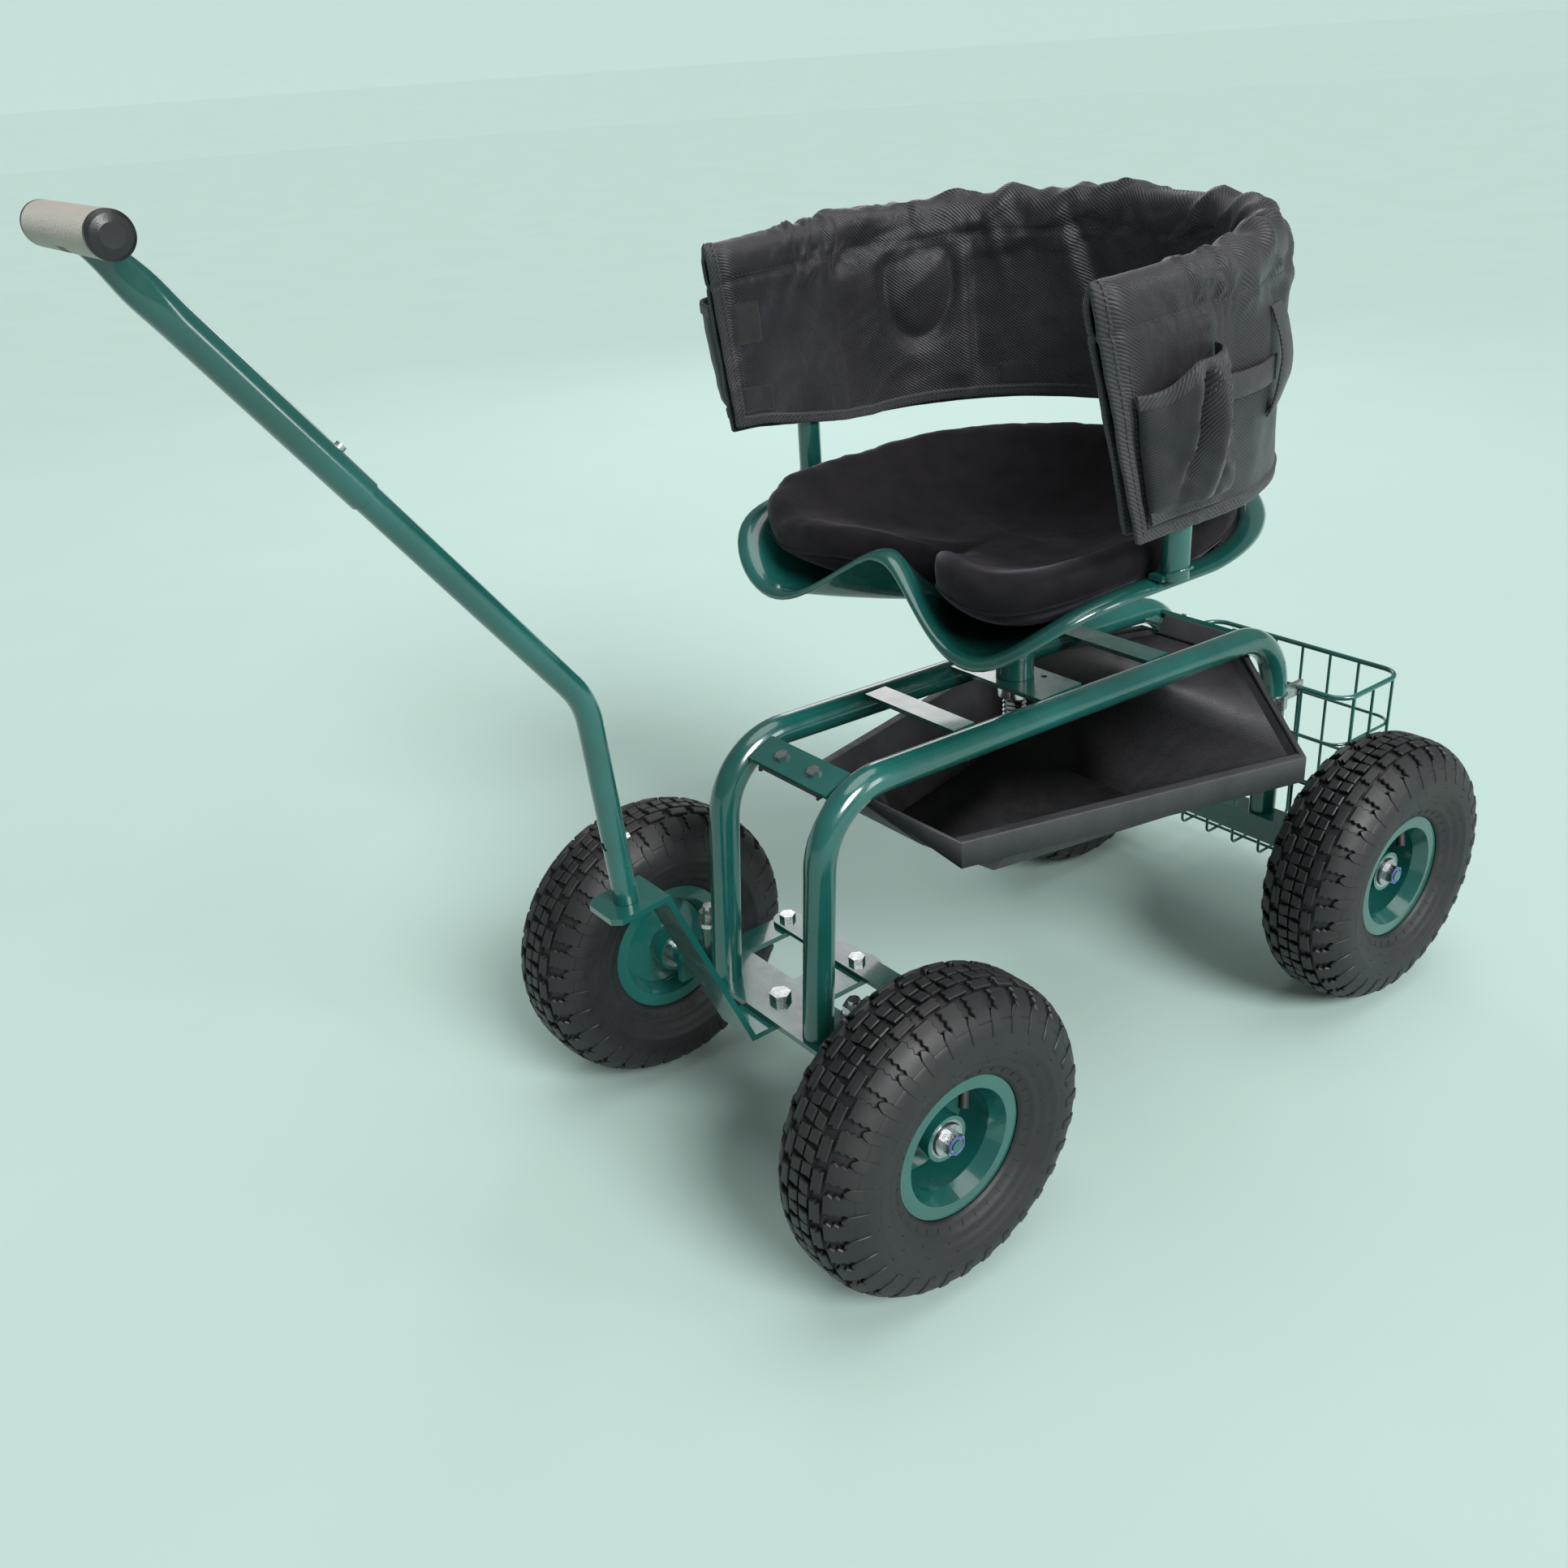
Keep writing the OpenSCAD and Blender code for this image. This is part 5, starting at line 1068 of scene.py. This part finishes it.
def cover_patches():
    shape = Shape()
    for q0, q1, s0, s1 in PATCHES:
        rows = []
        for i in range(17):
            q = q0 + (q1 - q0) * i / 16
            line = []
            for k in range(13):
                s = s0 + (s1 - s0) * k / 12
                edge = i in (0, 16) or k in (0, 12)
                line.append(cover_at(q, s) + cover_normal(q, s) * (0.9 if edge else 1.9))
            rows.append(line)
        shape.rings(rows, closed=False, cap=False)
    return shape.build("hook_patches", "seat", None, HOOKS, angle=60, fix=False)


def webbing(name, pts, normals, width, depth):
    """A flat strap along points, its face towards the normals."""
    rings, uv, run = [], [], 0.0
    for k, (p, n) in enumerate(zip(pts, normals)):
        a = pts[max(0, k - 1)]
        b = pts[min(len(pts) - 1, k + 1)]
        t = (b - a).normalized()
        w = t.cross(n).normalized() * width / 2
        h = n.normalized() * depth / 2
        run += (p - a).length * MM
        rings.append([p - w + h * 0.2, p - w * 0.94 + h, p + w * 0.94 + h, p + w + h * 0.2,
                      p + w - h * 0.2, p + w * 0.94 - h, p - w * 0.94 - h, p - w - h * 0.2])
        uv.append([(run, x * width * MM) for x in (0, 0.03, 0.97, 1, 1, 0.97, 0.03, 0)])
    return Shape().rings(rings, uv=uv).build(name, "seat", None, TAPE, angle=50)


def strap(name, line, low, bow, power, width, depth):
    """Webbing along (q, s) pairs on the cover, which stands off it most in the middle."""
    normals = [cover_normal(q, s) for q, s in line]
    pts = []
    for k, ((q, s), n) in enumerate(zip(line, normals)):
        off = low + bow * sin(pi * k / (len(line) - 1)) ** power
        pts.append(cover_at(q, s) + n * off)
    return webbing(name, pts, normals, width, depth)


def cover_strap():
    """The strap and the hanging tab on the outer panel, behind the left pocket."""
    cross = [(0.185 + 0.085 * k / 16, -0.52) for k in range(17)]
    tab = [(0.272, -0.30 - 0.40 * k / 24) for k in range(25)]
    return [strap("strap_cross", cross, 3.2, 1.5, 1, 18, 1.6),
            strap("strap_tab", tab, 2.6, 7.5, 0.8, 24, 1.8)]


# Pockets: open bags sewn to the outer panels, with a bound top


def away(q):
    """Straight out from the hoop, level with it."""
    x, y, turn = hoop_at(q)
    return from_hoop(x + cos(turn), y + sin(turn), 0) - from_hoop(x, y, 0)


# Folds of a bag: place at its top, slant, width and height
FOLDS = [(0.46, -0.40, 0.050, -10.0), (0.62, -0.34, 0.075, 8.0), (0.32, -0.20, 0.055, 5.0),
         (0.84, -0.12, 0.045, 4.0), (0.92, -0.50, 0.035, -5.0), (0.74, 0.10, 0.030, -4.5),
         (0.58, -0.75, 0.025, 3.0)]
# Where each bag starts on the cover, and its length there
BAG_START, BAG_LONG = 0.012, 0.158
FAR_START, FAR_LONG = 0.996, 0.166
BAG_TOP, BAG_FOOT = -0.34, -0.93
BAG_WALL, BAG_GAP, BAG_LEAST = 1.6, 3.0, 4.5
# The near bag stands off less, and its top slopes down to its front end
NEAR_DEEP, FAR_DEEP = 30.0, 36.0


def folds(a, b):
    """Height of a bag's slanting folds, which fade towards its foot."""
    fade = smooth((1.05 - b) / 0.4)
    return fade * sum(h * hump(a, at + slant * b, w) for at, slant, w, h in FOLDS)


def pocket(side):
    """A bag whose front stands off the panel; drawn along the panel and down it."""
    tag = "left" if side > 0 else "right"

    def q_of(a):
        return BAG_START + BAG_LONG * a if side > 0 else FAR_START - FAR_LONG * a

    def point(a, b):
        dip = 0.10 * (1 - smooth(a / 0.42)) if side > 0 else 0.05 * smooth((a - 0.3) / 0.6)
        s = BAG_TOP - dip * (1 - b) + (BAG_FOOT - BAG_TOP) * b
        full = sin(pi * min(1, a * 1.02)) ** (0.55 if side > 0 else 0.3)
        sag = 0.55 + 0.45 * sin(pi * (0.25 + 0.62 * b))
        close = 1 - smooth((b - 0.84) / 0.16)
        n1 = ripple(a * 5.5 + b * 2.2, b * 2.4, 11.0 + side)
        n2 = ripple(a * 9.0 - b * 5.0, b * 5.0, 23.0 + side)
        wrinkle = (3.4 * n1 + 2.0 * n2 + folds(a, b)) * full * smooth(b / 0.1)
        deep = NEAR_DEEP if side > 0 else FAR_DEEP
        off = (deep * full * sag + wrinkle) * close + BAG_GAP
        return cover_at(q_of(a), s) + away(q_of(a)) * max(BAG_LEAST, off)

    wide, high = 40, 34
    rows = grid(wide, high, point)
    uv = grid(wide, high, lambda a, b: (a * 0.12, b * 0.13))
    shape = Shape().rings(rows, closed=False, cap=False, uv=uv)
    bag = shape.build("bag_" + tag, "seat", "cover_fabric", angle=70)
    thicken(bag, BAG_WALL, even=False)
    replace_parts(bag, "pocket_" + tag)
    normals = [cover_normal(q_of(i / wide), BAG_TOP) for i in range(wide + 1)]
    out = [bag]
    for name, edge, beside in (("binding_bag_", 0, 1), ("binding_bag_foot_", -1, -2)):
        into = [(r[beside] - r[edge]).normalized() for r in rows]
        out.append(tape_along([r[edge] for r in rows], into, normals, name + tag))
    return out


def back_cover():
    cloth = cover_cloth()
    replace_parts(cloth, "back_cover")
    extra = cover_bindings() + [cover_stitches(), cover_patches()] + cover_strap()
    extra += pocket(1) + pocket(-1)


# Tool tray: a vacuum-formed sheet, its edges rounded


# Stations along the tray: place, half width and height of the rim, half width and height of
# the floor, and depth of the lip
TRAY = [(-128.965, 36, 346.887, 26, 346.887, 5), (-103.004, 44, 357.376, 34, 357.376, 5),
        (-89.004, 44, 335.376, 36, 331.376, 5), (-33.114, 95, 292, 51.2, 274.36, 24),
        (34.886, 112.721, 290.145, 64, 229, 24), (216.886, 160.152, 285.182, 104, 229, 24),
        (296.886, 181, 283, 165, 279, 24), (372.057, 62, 319.529, 46, 316.529, 5),
        (373.557, 42, 320.529, 32, 320.529, 5), (382.206, 42, 334.724, 32, 334.724, 5),
        (405.846, 42, 316.254, 32, 316.254, 5)]
TRAY_WALL, RIM_WIDE, TRAY_ROUND = 3.0, 8, 3.2
TRAY_FOLD = radians(12)


def tray():
    rows = []
    for y, rim, rim_z, bed, bed_z, lip in TRAY:
        top, low = rim_z - TRAY_WALL / 2, bed_z - TRAY_WALL / 2
        half = [(rim, rim_z - lip), (rim, top), (rim - RIM_WIDE, top), (bed, low)]
        rows.append([(x, y, z) for x, z in half] + [(-x, y, z) for x, z in reversed(half)])
    shape = Shape().rings(rows, closed=False, cap=False)
    obj = shape.build("tray_shell", "frame", "tray_plastic", angle=180)
    bm = bmesh.new()
    bm.from_mesh(obj.data)
    sharp = [e for e in bm.edges if len(e.link_faces) == 2 and e.calc_face_angle(0) > TRAY_FOLD]
    bmesh.ops.bevel(bm, geom=sharp, offset=TRAY_ROUND * MM, segments=3, profile=0.5,
                    affect="EDGES", clamp_overlap=True)
    bm.to_mesh(obj.data)
    bm.free()
    thicken(obj, TRAY_WALL)
    obj.data.update()
    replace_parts(obj, "tool_tray")


# Handle: round tube pressed flat at its neck


# Lean of the upper tube, and the bend below it, where its own heights start
LEAN = radians(36.8)
KNEE = (-297.496, 467.536)
TUBE_R, BORE_R = 10.6, 9.45
TUBE_FOOT, BORE_END, TUBE_TOP = 216.0, 240.0, 419.0
# The neck: where it starts, its length, and how much it narrows, thickens and squares
NECK_FROM, NECK_LONG = 356, 52
NECK_THIN, NECK_WIDE, NECK_SLIM, NECK_SQUARE = 6.4, 1.2, 2.0, 1.6
# The cross tube: height, half length, radius and the radius of its rounded end
CROSS_Z, CROSS_HALF, CROSS_R, CROSS_END = 420, 57, 8.5, 7


def from_upper(x, y, z):
    return tilted(x, y, z, LEAN, *KNEE)


def neck_ring(z):
    """The tube's outline, which goes from a circle to a flat oval along the neck."""
    t = smooth((z - NECK_FROM) / NECK_LONG)
    rx = TUBE_R - NECK_THIN * t
    ry = TUBE_R + NECK_WIDE * sin(pi * min(1, t)) - NECK_SLIM * t
    power = 2 / (2 + NECK_SQUARE * t)
    ring = []
    for a in full_turn(40):
        c, s = cos(a), sin(a)
        ring.append(from_upper(rx * copysign(abs(c) ** power, c),
                               ry * copysign(abs(s) ** power, s), z))
    return ring


def handle():
    shape = Shape()
    steps = [TUBE_FOOT, TUBE_FOOT + 1, BORE_END, 300.0, 345.0]
    steps += [350.0 + 2.2 * k for k in range(31)] + [TUBE_TOP]
    bore = [[from_upper(BORE_R * cos(a), BORE_R * sin(a), z) for a in full_turn(40)]
            for z in (BORE_END, TUBE_FOOT)]
    shape.rings(bore + [neck_ring(z) for z in steps])
    ends = [(-CROSS_HALF, CROSS_END), (-CROSS_HALF, CROSS_R),
            (CROSS_HALF, CROSS_R), (CROSS_HALF, CROSS_END)]
    shape.rings([[from_upper(x, r * cos(a), CROSS_Z + r * sin(a)) for a in full_turn(40)]
                 for x, r in ends])
    obj = shape.build("handle_rod", "steering", "frame_green", angle=50)
    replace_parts(obj, "handle_tube")


# Weld beads and nut inserts, which ride on the CAD pieces


POST_R, POST_BEAD_R, SLEEVE_BEAD_R = 10.0, 11.0, 17.0
# How high each bead lies over the foot of its post or under the top of the sleeve
POST_BEAD_UP, SLEEVE_BEAD_DOWN = 4.0, 4.6
INSERT_R, INSERT_T, INSERT_OUT = 6.9, 1.0, 0.2


def bead(shape, spot, radius, lean, fat):
    """A knobbly ring of weld round a tube that stands on a plate."""
    up = Vector(lean).normalized()
    side = up.orthogonal().normalized()
    other = up.cross(side)
    path = [Vector(spot) + spoke(side, other, t) * radius for t in full_turn(60)]
    tube(shape, path, fat, 8, closed=True, rough=0.28)


def welds():
    seat, post = Shape(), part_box("hoop_posts")
    for side in (-1, 1):
        x, y = side * (post[1].x / MM - POST_R), (post[0].y + post[1].y) / 2 / MM
        spot = (x, y + 1.0, post[0].z / MM + POST_BEAD_UP)
        bead(seat, spot, POST_BEAD_R, (side * -0.5, 0, 1), 1.6)
    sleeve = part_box("seat_sleeve")
    centre = (sleeve[0] + sleeve[1]) / 2 / MM
    bead(seat, (0, centre.y, sleeve[1].z / MM - SLEEVE_BEAD_DOWN), SLEEVE_BEAD_R, (0, 0, 1), 1.7)
    seat.build("seat_welds", "seat", None, M["frame_green"], angle=80)


def insert(row, place, side):
    """The nylon ring that shows in the end of a wheel's lock nut."""
    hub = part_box(f"bearings_{row}_{place}")
    middle = (hub[0] + hub[1]) / 2 / MM
    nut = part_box(f"front_nut_{place}" if row == "front" else "rear_wheel_nuts")
    x = side * (max(abs(nut[0].x), abs(nut[1].x)) / MM + INSERT_OUT)
    ring = Shape()
    path = [Vector((x, middle.y + INSERT_R * cos(t), middle.z + INSERT_R * sin(t)))
            for t in full_turn(32)]
    tube(ring, path, INSERT_T, 8, closed=True)
    body = "frame" if row == "rear" else f"knuckle_{place}"
    ring.build(f"nut_insert_{row}_{place}", body, None, INSERT)


seat_pan()
cushion()
back_cover()
tray()
handle()
welds()
for row in ("front", "rear"):
    insert(row, "left", 1)
    insert(row, "right", -1)
floor()
studio()
